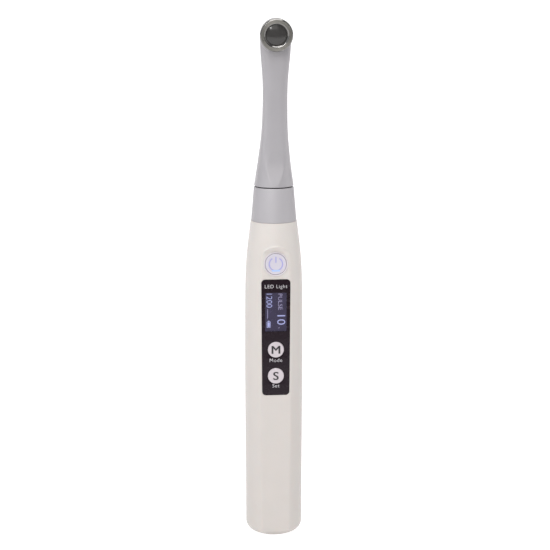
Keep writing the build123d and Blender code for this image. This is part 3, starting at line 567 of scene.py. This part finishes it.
CAD_FINISHES = {
    BASE_WHITE: ("base_cap",),
    SHAFT_STEEL: ("cap_screws", "board_screws", "swivel_shaft", "retaining_clip"),
    BRASS: ("charge_pins", "battery_tabs", "brushes", "slip_rings"),
    CELL_WRAP: ("battery_cell",),
    GUM: ("battery_pad", "display_pad", "thermal_pad"),
    CHIP_BLACK: (
        "battery_cradle", "tact_switches", "controller_chip", "driver_chip", "power_coil", "buzzer",
    ),
    BOARD_GREEN: ("main_board",),
    LED_DIE: ("status_leds", "led_chips"),
    NYLON: ("lead_socket",),
    CAP_TAN: ("capacitors",),
    WINDOW: ("display_window",),
    SCREEN: ("display_glass",),
    DISPLAY_BODY: ("display_frame",),
    RIBBON: ("display_ribbon",),
    ACETAL: ("swivel_bush", "brush_block", "slip_core"),
    LEAD_RED: ("brush_leads", "battery_leads", "charge_leads", "led_leads"),
    SEAL: ("lens_gasket", "swivel_o_ring", "thrust_washer"),
    REFLECTOR: ("reflector_cup",),
    COPPER_BOARD: ("led_board",),
    TURNED: ("heat_slug",),
}


def paint(thing, material):
    thing.data.materials.clear()
    thing.data.materials.append(material)


def finish_cad_nodes():
    for material, names in CAD_FINISHES.items():
        for name in names:
            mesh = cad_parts[name].data
            if not mesh.materials:
                mesh.materials.append(material)
            for index in range(len(mesh.materials)):
                mesh.materials[index] = material


finish_cad_nodes()


def settle(piece, body, material, slot, *nodes):
    """Gives a piece its finish, its body and the CAD nodes that it stands for."""
    paint(piece, material)
    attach(piece, body)
    if nodes:
        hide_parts(*nodes)


# ------------------------------------------------------------------------------------
# White housing: two half shells with one soft-edged front flat
# ------------------------------------------------------------------------------------
BASE_FLAT_R = 10.0  # flat that the light stands on
BASE_EDGE_R = 4.0  # rounding of the bottom edge
WAIST_R, WAIST_Z = 14.2, 60
PANEL_BAND_R, PANEL_BAND_Z = 14.08, 118  # housing beside the display
BUTTON_BAND_R, BUTTON_BAND_Z = 13.25, 141  # housing beside the power button
SHOULDER_R = 11.25
WALL = 2.0
FLOOR_TOP_Z = 4.2
SPIGOT_TOP_Z = 161.4  # ring inside the collar
SPIGOT_R, SPIGOT_BORE_R = 9.2, 7.8
CAVITY_TOP_R, CAVITY_TOP_Z = 9.5, 156.0
CAP_POCKET_R, CAP_POCKET_THICK = 8.8, 2.0
SEAM_DEPTH = 0.07  # groove where the two half shells meet
RELIEF_Z = (130.0, 151.0)  # rows lie closer together here
CREASE = 0.42  # softness of the crease round the front flat
ARCH_SLOPE = 1.25  # lean of the arched wall above the power button
LIP_HEIGHT = 0.42  # raised lip round the top of the arch
LIP_OUT = 0.3  # from the arch to the crest of the lip
LIP_WIDTH = 0.62
ARCH_CREASE = 0.12  # softness of the crease along the arch


def clamped_spline(points, start_slope, end_slope):
    """A cubic spline value(z) through points of (z, value) with given slopes at its ends."""
    z, v = np.array(points, dtype=float).T
    n = len(z)
    h = np.diff(z)
    system = np.zeros((n, n))
    right = np.zeros(n)
    system[0, 0] = 1
    right[0] = start_slope
    system[-1, -1] = 1
    right[-1] = end_slope
    for i in range(1, n - 1):
        system[i, i - 1] = 1 / h[i - 1]
        system[i, i] = 2 / h[i - 1] + 2 / h[i]
        system[i, i + 1] = 1 / h[i]
        right[i] = 3 * ((v[i] - v[i - 1]) / h[i - 1] ** 2 + (v[i + 1] - v[i]) / h[i] ** 2)
    slope = np.linalg.solve(system, right)

    def value(at):
        at = np.clip(np.asarray(at, dtype=float), z[0], z[-1])
        i = np.clip(np.searchsorted(z, at) - 1, 0, n - 2)
        t = (at - z[i]) / h[i]
        return (
            (2 * t**3 - 3 * t**2 + 1) * v[i]
            + (t**3 - 2 * t**2 + t) * h[i] * slope[i]
            + (3 * t**2 - 2 * t**3) * v[i + 1]
            + (t**3 - t**2) * h[i] * slope[i + 1]
        )

    return value


upper_profile = clamped_spline(
    [
        (BASE_EDGE_R, BASE_FLAT_R + BASE_EDGE_R), (WAIST_Z, WAIST_R), (PANEL_BAND_Z, PANEL_BAND_R),
        (BUTTON_BAND_Z, BUTTON_BAND_R), (SHOULDER_Z, SHOULDER_R),
    ],
    0, -0.12,
)


def housing_radius(z):
    z = np.asarray(z, dtype=float)
    low = np.clip(BASE_EDGE_R - z, 0, BASE_EDGE_R)
    edge = BASE_FLAT_R + np.sqrt(BASE_EDGE_R**2 - low**2)
    return np.where(z < BASE_EDGE_R, edge, upper_profile(z))


def housing_outside(x, y, z):
    """Positive outside the housing: round body, front flat and arched end of the flat."""
    radius = housing_radius(z)
    flat = flat_y(z) - y
    surface_y = -np.sqrt(np.maximum(0.0, radius**2 - x**2))
    above = np.maximum(0.0, z - ARCH_CENTRE_Z)
    arch = np.hypot(x, above * ARCH_R / ARCH_RISE) - ARCH_R
    wall = -(arch + ARCH_SLOPE * (y - surface_y) * (above > 0)) / math.hypot(1, ARCH_SLOPE)
    near_top = np.clip(above / ARCH_R, 0, 1)
    crest = LIP_HEIGHT * np.exp(-(((arch - LIP_OUT) / LIP_WIDTH) ** 2))
    round_body = np.hypot(x, y) - radius - crest * near_top * (y < 0)
    crease = CREASE + (ARCH_CREASE - CREASE) * near_top
    return smooth_max(round_body, smooth_min(flat, wall, 0.5), crease)


def housing_rows():
    """Heights of the housing's rows of points, from the base to the shoulder."""
    foot = [BASE_EDGE_R * (1 - math.cos(math.radians(a))) for a in range(0, 90, 7)]
    tall = list(np.arange(BASE_EDGE_R, RELIEF_Z[0], 2.0))
    relief = list(np.arange(*RELIEF_Z, 0.25))
    return foot + tall + relief + list(np.arange(RELIEF_Z[1], SHOULDER_Z, 0.8)) + [SHOULDER_Z]


def shell_half(name, angles, front):
    """Half of the housing as one closed skin; angles run from seam to seam."""
    angles = np.radians(angles)
    directions = np.stack([np.sin(angles), -np.cos(angles) * front, np.zeros_like(angles)], axis=1)
    rings = []

    def ring(z, radii):
        radii = np.broadcast_to(np.asarray(radii, dtype=float), (len(angles),))
        rings.append(directions * radii[:, None] + np.array([0, 0, z]))

    seam = np.zeros(len(angles))
    seam[0] = seam[-1] = SEAM_DEPTH
    ring(CAP_POCKET_THICK, CAP_POCKET_R)
    ring(0.0, CAP_POCKET_R)
    for z in housing_rows():
        origins = np.tile([0.0, 0.0, z], (len(angles), 1))
        ring(z, reach(housing_outside, origins, directions) - seam)
    ring(SHOULDER_Z, SPIGOT_R)
    ring(SPIGOT_TOP_Z, SPIGOT_R)
    ring(SPIGOT_TOP_Z, SPIGOT_BORE_R)
    ring(CAVITY_TOP_Z + 1.6, SPIGOT_BORE_R)
    ring(CAVITY_TOP_Z, CAVITY_TOP_R)
    for z in np.arange(152.0, FLOOR_TOP_Z, -6.0):
        inner = np.full(len(angles), float(housing_radius(z)) - WALL)
        if front > 0:
            across = np.maximum(1e-3, np.cos(angles))
            inner = np.minimum(inner, (-float(flat_y(z)) - FLAT_WALL) / across)
        ring(z, inner)
    ring(FLOOR_TOP_Z, float(housing_radius(FLOOR_TOP_Z)) - WALL if front < 0 else inner)
    ring(FLOOR_TOP_Z, 0.0)
    ring(CAP_POCKET_THICK, 0.0)
    rings.append(rings[0].copy())
    points, faces = ring_skin(rings, closed=False)
    columns = len(angles)
    loop = [r * columns for r in range(len(rings) - 1)]
    faces.append(tuple(loop))
    faces.append(tuple(c + columns - 1 for c in reversed(loop)))
    half = mesh_object(name, points, faces)
    fix_normals(half)
    return half


POWER_ORIGIN = Vector((0, float(flat_y(POWER_Z)), POWER_Z))
POWER_LEAN = (POWER_Z - FLAT_TOP_Z) / flat_radius()
POWER_AXIS = Vector((0, -math.sqrt(1 - POWER_LEAN**2), POWER_LEAN))
POWER_RING_R = 5.85
PANEL_FOOT_WIDTH = 13.0
PANEL_TOP_WIDTH = 13.85
PANEL_CORNER_R = 1.7


def panel_outline(growth):
    """The control panel's rounded outline, grown by growth, with points all along its sides."""
    foot, top = PANEL_FOOT_WIDTH / 2 + growth, PANEL_TOP_WIDTH / 2 + growth
    corner = PANEL_CORNER_R + growth
    low, high = PANEL_FOOT_Z - growth, PANEL_TOP_Z + growth
    outline = arc((foot - corner, low + corner), corner, -90, 0, 10)
    for t in np.linspace(0, 1, 46)[1:-1]:
        z = low + corner + (high - low - 2 * corner) * t
        outline.append((foot + (top - foot) * t, z))
    outline += arc((top - corner, high - corner), corner, 0, 90, 10)
    return outline + [(-x, z) for x, z in reversed(outline)]


def loft(name, layers, sharp=35.0):
    """A closed solid through layers of points that correspond."""
    points, faces = ring_skin([np.array(layer, dtype=float) for layer in layers])
    count = len(layers[0])
    faces.append(tuple(range(count)))
    faces.append(tuple(reversed(range(count * (len(layers) - 1), count * len(layers)))))
    thing = mesh_object(name, points, faces, sharp)
    fix_normals(thing)
    return thing


def panel_layer(growth, inset):
    """The panel's outline laid on the flat, inset by so much into the housing."""
    return [(x, float(flat_y(z)) + inset, z) for x, z in panel_outline(growth)]


def box_cutter(name, low, high):
    """A box between two corners, for cutting."""
    corners = [(low[0], low[2]), (high[0], low[2]), (high[0], high[2]), (low[0], high[2])]
    return loft(name, [[(x, y, z) for x, z in corners] for y in (low[1], high[1])])


def round_cutter(name, origin, axis, radius, low, high):
    """A cylinder for cutting; low and high are distances along the axis from the origin."""
    return lathe(name, [(low, 0), (low, radius), (high, radius), (high, 0)], origin, axis, 96)


def join(things):
    """One object from the meshes of several."""
    work = bmesh.new()
    for thing in things:
        work.from_mesh(thing.data)
    work.to_mesh(things[0].data)
    work.free()
    for thing in things[1:]:
        bpy.data.objects.remove(thing)
    return things[0]


OUTWARDS = Vector((0, -1, 0))
KEY_WELL_R = 4.8  # opening behind a key, wider than the hole in the panel
front_angles = np.concatenate(
    [
        [-90, -89.5], np.arange(-87, -50, 3), np.arange(-50, 50.1, 0.5),
        np.arange(53, 88, 3), [89.5, 90],
    ]
)
rear_angles = np.concatenate([[-90, -89.5], np.arange(-87, 88, 3), [89.5, 90]])
front_skin = shell_half("front_shell_skin", front_angles, 1)
rear_skin = shell_half("rear_shell_skin", rear_angles, -1)

panel_recess = loft(
    "panel_recess",
    [
        panel_layer(0.05, 1.0), panel_layer(0.05, 0.32), panel_layer(0.13, 0.14),
        panel_layer(0.3, 0.0), panel_layer(0.5, -0.06), panel_layer(0.5, -2.0),
    ],
)
cut(front_skin, panel_recess)
openings = [box_cutter("display_opening", (-5.8, -13, SCREEN_Z - 10.2), (5.8, -9, SCREEN_Z + 10.2))]
for key_z in (MODE_Z, SET_Z):
    hub = Vector((0, 0, key_z))
    openings.append(round_cutter("key_opening", hub, OUTWARDS, KEY_WELL_R, 9.0, 13.0))
ring_hole_r = POWER_RING_R + 0.02
ring_hole = [(-5, 0), (-5, ring_hole_r), (2, ring_hole_r), (2, 0)]
openings.append(lathe("power_opening", ring_hole, POWER_ORIGIN, POWER_AXIS, 128))
cut(front_skin, join(openings))
settle(front_skin, "handle", WHITE, "white_housing", "front_shell")
settle(rear_skin, "handle", WHITE, "white_housing", "rear_shell")


# ------------------------------------------------------------------------------------
# Control panel with its keys, labels and screen
# ------------------------------------------------------------------------------------
def lean_with_flat(thing, cuts):
    """Bends a plate that lies on the vertical plane of the flat so that it follows the flat."""
    work = bmesh.new()
    work.from_mesh(thing.data)
    for z in cuts:
        bmesh.ops.bisect_plane(
            work, geom=work.verts[:] + work.edges[:] + work.faces[:],
            plane_co=(0, 0, z * MM), plane_no=(0, 0, 1),
        )
    for vertex in work.verts:
        vertex.co.y += (float(flat_y(vertex.co.z / MM)) - FLAT_Y) * MM
    bmesh.ops.remove_doubles(work, verts=work.verts, dist=1e-7)
    bmesh.ops.recalc_face_normals(work, faces=work.faces)
    work.to_mesh(thing.data)
    work.free()
    finish_mesh(thing.data, 40)


PANEL_THICK = 1.1
PANEL_PROUD = 0.1
SCREEN_HOLE = (10.72, 19.52)  # width and height
KEY_HOLE_R = 4.15
KEY_FACE = 12.55  # crown of a key, in front of the handle's axis
CROWN = 0.002  # how fast the crown falls away with the square of the radius
panel = curve_solid(
    "control_panel_skin",
    [
        panel_outline(0), rectangle_outline(0, SCREEN_Z, *SCREEN_HOLE),
        circle_outline(0, MODE_Z, KEY_HOLE_R), circle_outline(0, SET_Z, KEY_HOLE_R),
    ],
    PANEL_THICK / 2, 0.14,
)
stand_up(panel, lambda x, up, out: (x, FLAT_Y - PANEL_PROUD + PANEL_THICK / 2 - out, up))
lean_with_flat(panel, range(118, 131, 2))
settle(panel, "handle", PANEL_BLACK, "panel_black", "control_panel")

for key_name, key_z, key_body in (
    ("mode_key", MODE_Z, "mode_button"), ("set_key", SET_Z, "set_button"),
):
    crown = [(KEY_FACE, 0)] + [(KEY_FACE - CROWN * r**2, r) for r in np.linspace(0.5, 3.4, 7)]
    key_profile = crown + arc((12.22, 3.6), 0.3, 0, 90, 7) + [
        (11.1, 3.9), (11.1, 4.6), (10.6, 4.6), (10.6, 1.3), (8.5, 1.3), (8.5, 0),
    ]
    key = lathe(key_name + "_skin", key_profile, Vector((0, 0, key_z)), OUTWARDS, 128)
    settle(key, key_body, KEY_GREY, "key_grey", key_name)


# ------------------------------------------------------------------------------------
# Lettering: plain numbers and the names of the keys, in Blender's own font
# ------------------------------------------------------------------------------------
def lettering(name, words, height, place, spacing=1.0, stretch=1.0, weight=0.0):
    """Raised letters; place(x, up, out) puts a point of the flat text on the object."""
    data = bpy.data.curves.new(name, "FONT")
    data.body = words
    data.size = height * 1.38
    data.align_x = "CENTER"
    data.align_y = "CENTER"
    data.space_character = spacing
    data.extrude = 0.012
    data.offset = weight
    data.resolution_u = 6
    holder = bpy.data.objects.new(name, data)
    bpy.context.scene.collection.objects.link(holder)
    graph = bpy.context.evaluated_depsgraph_get()
    graph.update()
    mesh = bpy.data.meshes.new_from_object(holder.evaluated_get(graph))
    bpy.data.objects.remove(holder)
    middle = (max(v.co.y for v in mesh.vertices) + min(v.co.y for v in mesh.vertices)) / 2
    for vertex in mesh.vertices:
        x, up, out = vertex.co
        vertex.co = Vector(place(x * stretch, up - middle, out)) * MM
    return add_object(name, mesh)


def on_key(at_z, shift):
    """Places flat text on the crown of the key at a height, moved sideways by shift."""
    face_y = -KEY_FACE - 0.005
    return lambda x, up, out: (x + shift, face_y + CROWN * (x * x + up * up) - out, at_z + up)


def on_panel(at_z):
    return lambda x, up, out: (x, float(flat_y(at_z + up)) - 0.108 - out, at_z + up)


def turned(at_x, at_z):
    """Places text that reads downwards on the screen."""
    return lambda x, up, out: (at_x + up, SCREEN_FACE_Y - 0.01 - out, at_z - x)


for label_name, words, label_z, size in (
    ("panel_label", "LED Light", 127.7, 1.8), ("mode_label", "Mode", 91.2, 1.86),
    ("set_label", "Set", 78.3, 1.86),
):
    label = lettering(label_name, words, size, on_panel(label_z), spacing=1.12, weight=-0.03)
    settle(label, "handle", INK_WHITE, "panel_black")
for letter_name, words, key_z, key_body in (
    ("mode_letter", "M", MODE_Z, "mode_button"), ("set_letter", "S", SET_Z, "set_button"),
):
    strokes = [
        lettering(letter_name, words, 4.2, on_key(key_z, shift), stretch=1.08)
        for shift in (-0.15, -0.05, 0.05, 0.15)
    ]
    letter = join(strokes)
    settle(letter, key_body, INK_BLACK, "key_grey")
for text_name, words, at_x, at_z, size, stretch, ink in (
    ("pulse_text", "PULSE", 2.2, SCREEN_Z + 5.0, 2.15, 1.05, DIM_DIGITS),
    ("seconds_text", "10", 2.7, SCREEN_Z - 3.6, 4.1, 1.1, DIGITS),
    ("seconds_unit", "s", 1.6, SCREEN_Z - 8.0, 1.3, 1.2, DIM_DIGITS),
    ("power_text", "1200", -3.1, SCREEN_Z + 5.9, 2.9, 0.98, DIGITS),
):
    text = lettering(text_name, words, size, turned(at_x, at_z), stretch=stretch, weight=-0.034)
    settle(text, "handle", ink, "display_lit")


def screen_bar(name, outlines, ink):
    bar = curve_solid(name, outlines, 0.012)
    stand_up(bar, lambda x, up, out: (x, SCREEN_FACE_Y - 0.015 - out, up))
    settle(bar, "handle", ink, "display_lit")


CHARGE_Z = SCREEN_Z - 6.4
screen_bar(
    "charge_symbol",
    [rectangle_outline(-3.4, CHARGE_Z, 1.9, 3.0, 0.2), rectangle_outline(-3.4, CHARGE_Z, 1.5, 2.6)],
    DIGITS,
)
screen_bar("charge_fill", [rectangle_outline(-3.4, CHARGE_Z, 1.1, 2.2)], DIGITS)
screen_bar("charge_cap", [rectangle_outline(-3.4, SCREEN_Z - 4.65, 0.9, 0.35)], DIGITS)
screen_bar("time_slider", [rectangle_outline(-3.9, SCREEN_Z - 1.0, 0.22, 4.6)], DIM_DIGITS)


# ------------------------------------------------------------------------------------
# Power button: a raised ring, a slightly dished cap and its mark
# ------------------------------------------------------------------------------------
CAP_DISH_R = 4.6
CAP_RISE = 0.5  # rim of the dish above the flat
CAP_DIP = 0.12  # depth of the dish
ring_profile = [(-1.8, 5.24), (-1.8, POWER_RING_R)] + arc((0.2, 5.7), 0.15, 90, 0, 5)
ring_profile += arc((0.2, 5.39), 0.15, 0, -90, 5)
power_ring = lathe("power_ring_skin", ring_profile, POWER_ORIGIN, POWER_AXIS, 160)
settle(power_ring, "handle", RING_GREY, "ring_plastic", "power_ring")

dish = [
    (CAP_RISE - CAP_DIP * (1 - (r / CAP_DISH_R) ** 2), r) for r in np.linspace(0, CAP_DISH_R, 10)
]
cap_profile = dish + arc((0.2, 4.78), 0.3, 20, 90, 6) + [
    (-2.0, 5.1), (-2.0, 6.0), (-2.5, 6.0), (-2.5, 1.3), (-2.9, 1.3), (-2.9, 0),
]
cap = lathe("power_button_skin", cap_profile, POWER_ORIGIN, POWER_AXIS, 160)
settle(cap, "power_key", CAP_WHITE, "power_cap", "power_button")

POWER_UP = Vector((0, POWER_LEAN, math.sqrt(1 - POWER_LEAN**2)))


def on_cap(x, up, out):
    """Places the flat mark in the dish of the cap, a hair above it."""
    height = CAP_RISE - CAP_DIP * (1 - min(1.0, (x * x + up * up) / CAP_DISH_R**2)) + 0.004
    return POWER_ORIGIN + Vector((x, 0, 0)) + POWER_UP * up + POWER_AXIS * (height + out)


ICON_R = 3.2
ICON_WIDTH = 0.6
icon_arc = arc((0, 0), ICON_R + ICON_WIDTH / 2, 122, 418, 64)
icon_arc += arc((0, 0), ICON_R - ICON_WIDTH / 2, 418, 122, 64)
icon = curve_solid("power_mark", [icon_arc, rectangle_outline(0, 2.1, 0.6, 3.0, 0.25)], 0.012)
stand_up(icon, on_cap)
settle(icon, "power_key", ICON, "power_cap")
lamp = curve_solid("power_lamp", [rectangle_outline(0, -3.2, 3.9, 0.72, 0.3)], 0.02)
stand_up(lamp, on_cap)
settle(lamp, "power_key", PATCH_BLUE, "power_cap")


# ------------------------------------------------------------------------------------
# Collar and neck
# ------------------------------------------------------------------------------------
collar_outline = [(SHOULDER_Z, 9.25), (SHOULDER_Z, 10.85)]
collar_outline += [(SHOULDER_Z + 0.15, 11.0), (SHOULDER_Z + 0.5, 10.96)]
collar_outline += [(COLLAR_TOP_Z - 0.5, 9.68), (COLLAR_TOP_Z - 0.25, 9.6), (COLLAR_TOP_Z, 9.35)]
collar_outline += [(COLLAR_TOP_Z, 6.5), (163.0, 6.5), (163.0, 9.25)]
collar = lathe("collar_skin", collar_outline, steps=200, sharp=28)
settle(collar, "handle", COLLAR_GREY, "neck_metal", "collar")

NECK_SECTIONS = np.array(
    [  # height, half width, half depth, centre depth
        (NECK_FOOT_Z, 9.6, 9.6, 0), (184, 8.3, 8.2, -1.0), (192, 7.27, 7.2, -2.6),
        (202, 6.3, 6.4, -4.6), (212, 5.92, 5.9, -6.2), (221, 5.85, 5.6, -7.2),
        (231, 6.35, 5.4, -8.2), (240, 7.1, 5.1, -9.1), (246, 7.3, 4.6, -9.8),
    ]
)


def natural_spline(z, v):
    """A cubic spline through the points, with its end slopes taken from the end pairs."""
    first = (v[1] - v[0]) / (z[1] - z[0])
    last = (v[-1] - v[-2]) / (z[-1] - z[-2])
    return clamped_spline(list(zip(z, v)), first, last)


half_width, half_depth, centre_y = (
    natural_spline(NECK_SECTIONS[:, 0], NECK_SECTIONS[:, c]) for c in (1, 2, 3)
)
front_face = natural_spline(
    np.array([175, 186, 202, 219, 237, 250.0]), np.array([-9.78, -7.85, -8.8, -10.5, -11.5, -11.7])
)
NECK_TOP_Z = 246.0
NECK_CREASE_FOOT = 0.1  # the facet is crisp at its foot and fades out above
NECK_CREASE_TOP = 2.2
NECK_FADE_Z = 184.0  # where the fading starts
NECK_FADE_RISE = 9.0
HEAD_BLEND = 1.2
HEAD_MIDDLE = HEAD_CENTRE + HEAD_AXIS * -4.2  # a point well inside the head
SPINE_BEND_Z = 228.0  # where the middle line starts to turn into the head
SPINE_BEND_RISE = 14.0


def neck_outside(x, y, z):
    """Positive outside the neck: an oval stem with a scooped front, and a round head."""
    a, b, c = half_width(z), half_depth(z), centre_y(z)
    oval = (np.hypot(x / a, (y - c) / b) - 1) * np.minimum(a, b)
    fade = np.clip((z - NECK_FADE_Z) / NECK_FADE_RISE, 0, 1)
    softness = NECK_CREASE_FOOT + (NECK_CREASE_TOP - NECK_CREASE_FOOT) * fade
    stem = smooth_max(oval, front_face(z) - y, softness)
    stem = np.maximum(stem, z - NECK_TOP_Z)
    dy, dz = y - HEAD_CENTRE.y, z - HEAD_CENTRE.z
    w = dy * HEAD_AXIS.y + dz * HEAD_AXIS.z
    off = np.hypot(x, dy * HEAD_UP.y + dz * HEAD_UP.z)
    barrel = np.maximum(off - HEAD_R, w + 1.0)
    barrel = np.where(w < HEAD_BACK, np.hypot(off, w - HEAD_BACK) - HEAD_R, barrel)
    return smooth_min(stem, barrel, HEAD_BLEND)


def neck_spine(z):
    """Depth of a line that stays well inside the neck and ends in the middle of the head."""
    middle = (front_face(z) + centre_y(z) + half_depth(z)) / 2
    into_head = np.clip((z - SPINE_BEND_Z) / SPINE_BEND_RISE, 0, 1)
    into_head = into_head**2 * (3 - 2 * into_head)
    return middle * (1 - into_head) + HEAD_MIDDLE.y * into_head


def make_neck():
    """The neck as rings of points, row by row up the stem and then over the head."""
    columns = np.radians(np.arange(0, 360, 1.5))
    flat_ray = np.stack([np.sin(columns), -np.cos(columns), np.zeros_like(columns)], axis=1)
    rings = []

    def solve(origin, directions):
        origins = np.tile(np.array(origin, dtype=float), (len(directions), 1))
        return origins + directions * reach(neck_outside, origins, directions)[:, None]

    rows = list(np.arange(NECK_FOOT_Z + 0.3, HEAD_MIDDLE.z, 0.5)) + [HEAD_MIDDLE.z]
    foot = solve((0, float(neck_spine(NECK_FOOT_Z)), NECK_FOOT_Z + 0.001), flat_ray)
    inward = np.array([0, 0, NECK_FOOT_Z]) - foot
    length = np.linalg.norm(inward, axis=1, keepdims=True)
    rings.append(foot + inward / length * 0.3)
    for z in rows:
        rings.append(solve((0, float(neck_spine(z)), z), flat_ray))
    for lift in np.radians(np.arange(3.0, 88, 3.0)):
        up = np.array([0, 0, math.sin(lift)])
        rings.append(solve(tuple(HEAD_MIDDLE), flat_ray * math.cos(lift) + up))
    points, faces = ring_skin(rings)
    count = len(columns)
    faces.append(tuple(reversed(range(count))))
    faces.append(tuple(range(count * (len(rings) - 1), count * len(rings))))
    neck = mesh_object("neck_skin", points, faces)
    fix_normals(neck)
    return neck


neck_skin = make_neck()
POCKET_R, POCKET_DEPTH = 6.4, 8.5  # holds the light engine
SOCKET_R, SOCKET_TOP_Z = 5.01, 180.0  # takes the swivel's shaft
LEAD_BORE_R = 1.8  # carries the leads from the socket up to the pocket
UPWARDS = Vector((0, 0, 1))
socket_reach = (NECK_FOOT_Z - 1, SOCKET_TOP_Z)
cut(neck_skin, round_cutter("pocket", HEAD_CENTRE, HEAD_AXIS, POCKET_R, -POCKET_DEPTH, 3.0))
cut(neck_skin, round_cutter("socket", Vector((0, 0, 0)), UPWARDS, SOCKET_R, *socket_reach))
LEAD_ENTRY = Vector((0, 0, 179))
LEAD_EXIT = Vector((0, -7.8, 241.93))
lead_axis = (LEAD_EXIT - LEAD_ENTRY).normalized()
lead_length = (LEAD_EXIT - LEAD_ENTRY).length + 1.5
cut(neck_skin, round_cutter("passage", LEAD_ENTRY, lead_axis, LEAD_BORE_R, 0, lead_length))
settle(neck_skin, "neck", NECK_GREY, "neck_metal", "neck_shell")


# ------------------------------------------------------------------------------------
# Light head: turned bezel and domed lens
# ------------------------------------------------------------------------------------
def grooves(start, end, height, count, depth):
    """Fine tool marks across a turned face, from one radius to another."""
    marks = []
    for k in range(count):
        t = (k + 0.5) / count
        radius = start + (end - start) * t
        marks.append((height - depth * (k % 2), radius))
    return marks


INNER_CHAMFER_R = 5.84  # the bezel's polished chamfers lie inside and outside these
OUTER_CHAMFER_R = 7.25
bezel_outline = [(-3.0, 5.7), (-3.0, 6.38), (-1.0, 6.38), (-1.0, 7.55), (-0.85, 7.7), (0.25, 7.7)]
bezel_outline += [(0.35, 7.68), (0.72, 7.36), (0.8, 7.2)]
bezel_outline += grooves(7.1, 5.95, 0.8, 12, 0.012)
bezel_outline += [(0.8, 5.85), (0.76, 5.76), (0.34, 5.16), (0.25, 5.1), (-0.2, 5.1), (-0.2, 5.7)]
bezel = lathe("head_bezel_skin", bezel_outline, HEAD_CENTRE, HEAD_AXIS, 200, sharp=25)
settle(bezel, "neck", BEZEL_STEEL, "bezel_steel", "head_bezel")
bezel.data.materials.append(BEZEL_POLISH)
for face in bezel.data.polygons:
    from_centre = Vector(face.center) / MM - HEAD_CENTRE
    height = from_centre.dot(HEAD_AXIS)
    radius = (from_centre - HEAD_AXIS * height).length
    inner_chamfer = height > 0.2 and radius < INNER_CHAMFER_R
    outer_chamfer = height > 0.3 and radius > OUTER_CHAMFER_R
    if inner_chamfer or outer_chamfer:
        face.material_index = 1

LENS_RISE = 0.98
LENS_EDGE = -0.25  # edge of the dome behind the head's front plane
DOME_R, LENS_R = 4.9, 5.65
dome = [(LENS_EDGE + LENS_RISE * (1 - (r / DOME_R) ** 2), r) for r in np.linspace(0, DOME_R, 24)]
lens_outline = dome + [(LENS_EDGE, LENS_R), (-2.0, LENS_R), (-2.0, 0)]
lens = lathe("output_lens_skin", lens_outline, HEAD_CENTRE, HEAD_AXIS, 160)
settle(lens, "neck", LENS_GLASS, "lens_glass", "output_lens")


# ------------------------------------------------------------------------------------
# Floor, backdrop and soft light
# ------------------------------------------------------------------------------------
FLOOR_FRONT, FLOOR_BACK = -0.4, 0.8  # metres, like the rest of the stage
SWEEP_R = 0.3
WALL_TOP = 1.0
STAGE_SIDE = 1.4
STAGE_GLOW = 0.84  # brings the white up to the photo's


def make_stage():
    """A white floor that rises into a white wall."""
    depth = [(FLOOR_FRONT, 0.0), (FLOOR_BACK, 0.0)]
    for a in np.radians(range(6, 91, 6)):
        depth.append((FLOOR_BACK + SWEEP_R * math.sin(a), SWEEP_R - SWEEP_R * math.cos(a)))
    depth.append((FLOOR_BACK + SWEEP_R, WALL_TOP))
    points = [(x / MM, y / MM, z / MM) for y, z in depth for x in (-STAGE_SIDE, STAGE_SIDE)]
    faces = [(2 * k, 2 * k + 1, 2 * k + 3, 2 * k + 2) for k in range(len(depth) - 1)]
    stage = mesh_object("studio_sweep", points, faces, 60)
    paper = surface("studio_paper", (0.5, 0.5, 0.5, 1), 0.9, grain=700, bump=0.02, speckle=0.01)
    shader = shader_of(paper)
    shader.inputs["Specular IOR Level"].default_value = 0.0
    shader.inputs["Emission Color"].default_value = (1.0, 0.995, 1.0, 1)
    shader.inputs["Emission Strength"].default_value = STAGE_GLOW
    paint(stage, paper)


def soft_box(name, place, aim, width, height, power, colour, roll=0.0):
    """A soft rectangular light; sizes in metres, power in watts, roll in degrees."""
    data = bpy.data.lights.new(name, "AREA")
    data.shape = "RECTANGLE"
    data.size = width
    data.size_y = height
    data.energy = power
    data.color = colour
    light = bpy.data.objects.new(name, data)
    light.location = place
    light.rotation_mode = "QUATERNION"
    facing = (Vector(aim) - Vector(place)).to_track_quat("-Z", "Y")
    light.rotation_quaternion = facing @ Quaternion((0, 0, 1), math.radians(roll))
    bpy.context.scene.collection.objects.link(light)


make_stage()
soft_box("left_box", (-1.0, -0.5, 0.5), (0, 0, 0.16), 0.8, 1.1, 1.1, (0.9, 0.94, 1.0))
soft_box("front_box", (-0.35, -1.3, 0.62), (0, 0, 0.2), 1.2, 0.7, 2.9, (1.0, 0.98, 0.95))
soft_box("right_box", (1.0, 0.0, 0.45), (0, 0, 0.16), 0.7, 1.1, 1.5, (1.0, 0.98, 0.97))
soft_box("key_box", (-0.6, -0.93, 1.05), (0, 0, 0.24), 1.1, 0.12, 4.6, (1.0, 1.0, 1.0), 37)
soft_box("spark", (-0.4, -1.12, 0.42), (0, 0, 0.247), 0.06, 0.06, 0.8, (1.0, 1.0, 1.0))
soft_box("top_box", (0, -0.3, 0.95), (0, 0, 0.2), 0.8, 0.6, 5.2, (1.0, 1.0, 1.0))

world = bpy.data.worlds.new("studio_air")
bpy.context.scene.world = world
world.use_nodes = True
background = next(n for n in world.node_tree.nodes if n.type == "BACKGROUND")
background.inputs["Color"].default_value = (0.95, 0.96, 1.0, 1)
background.inputs["Strength"].default_value = 0.28
bpy.context.scene.view_settings.view_transform = "Standard"
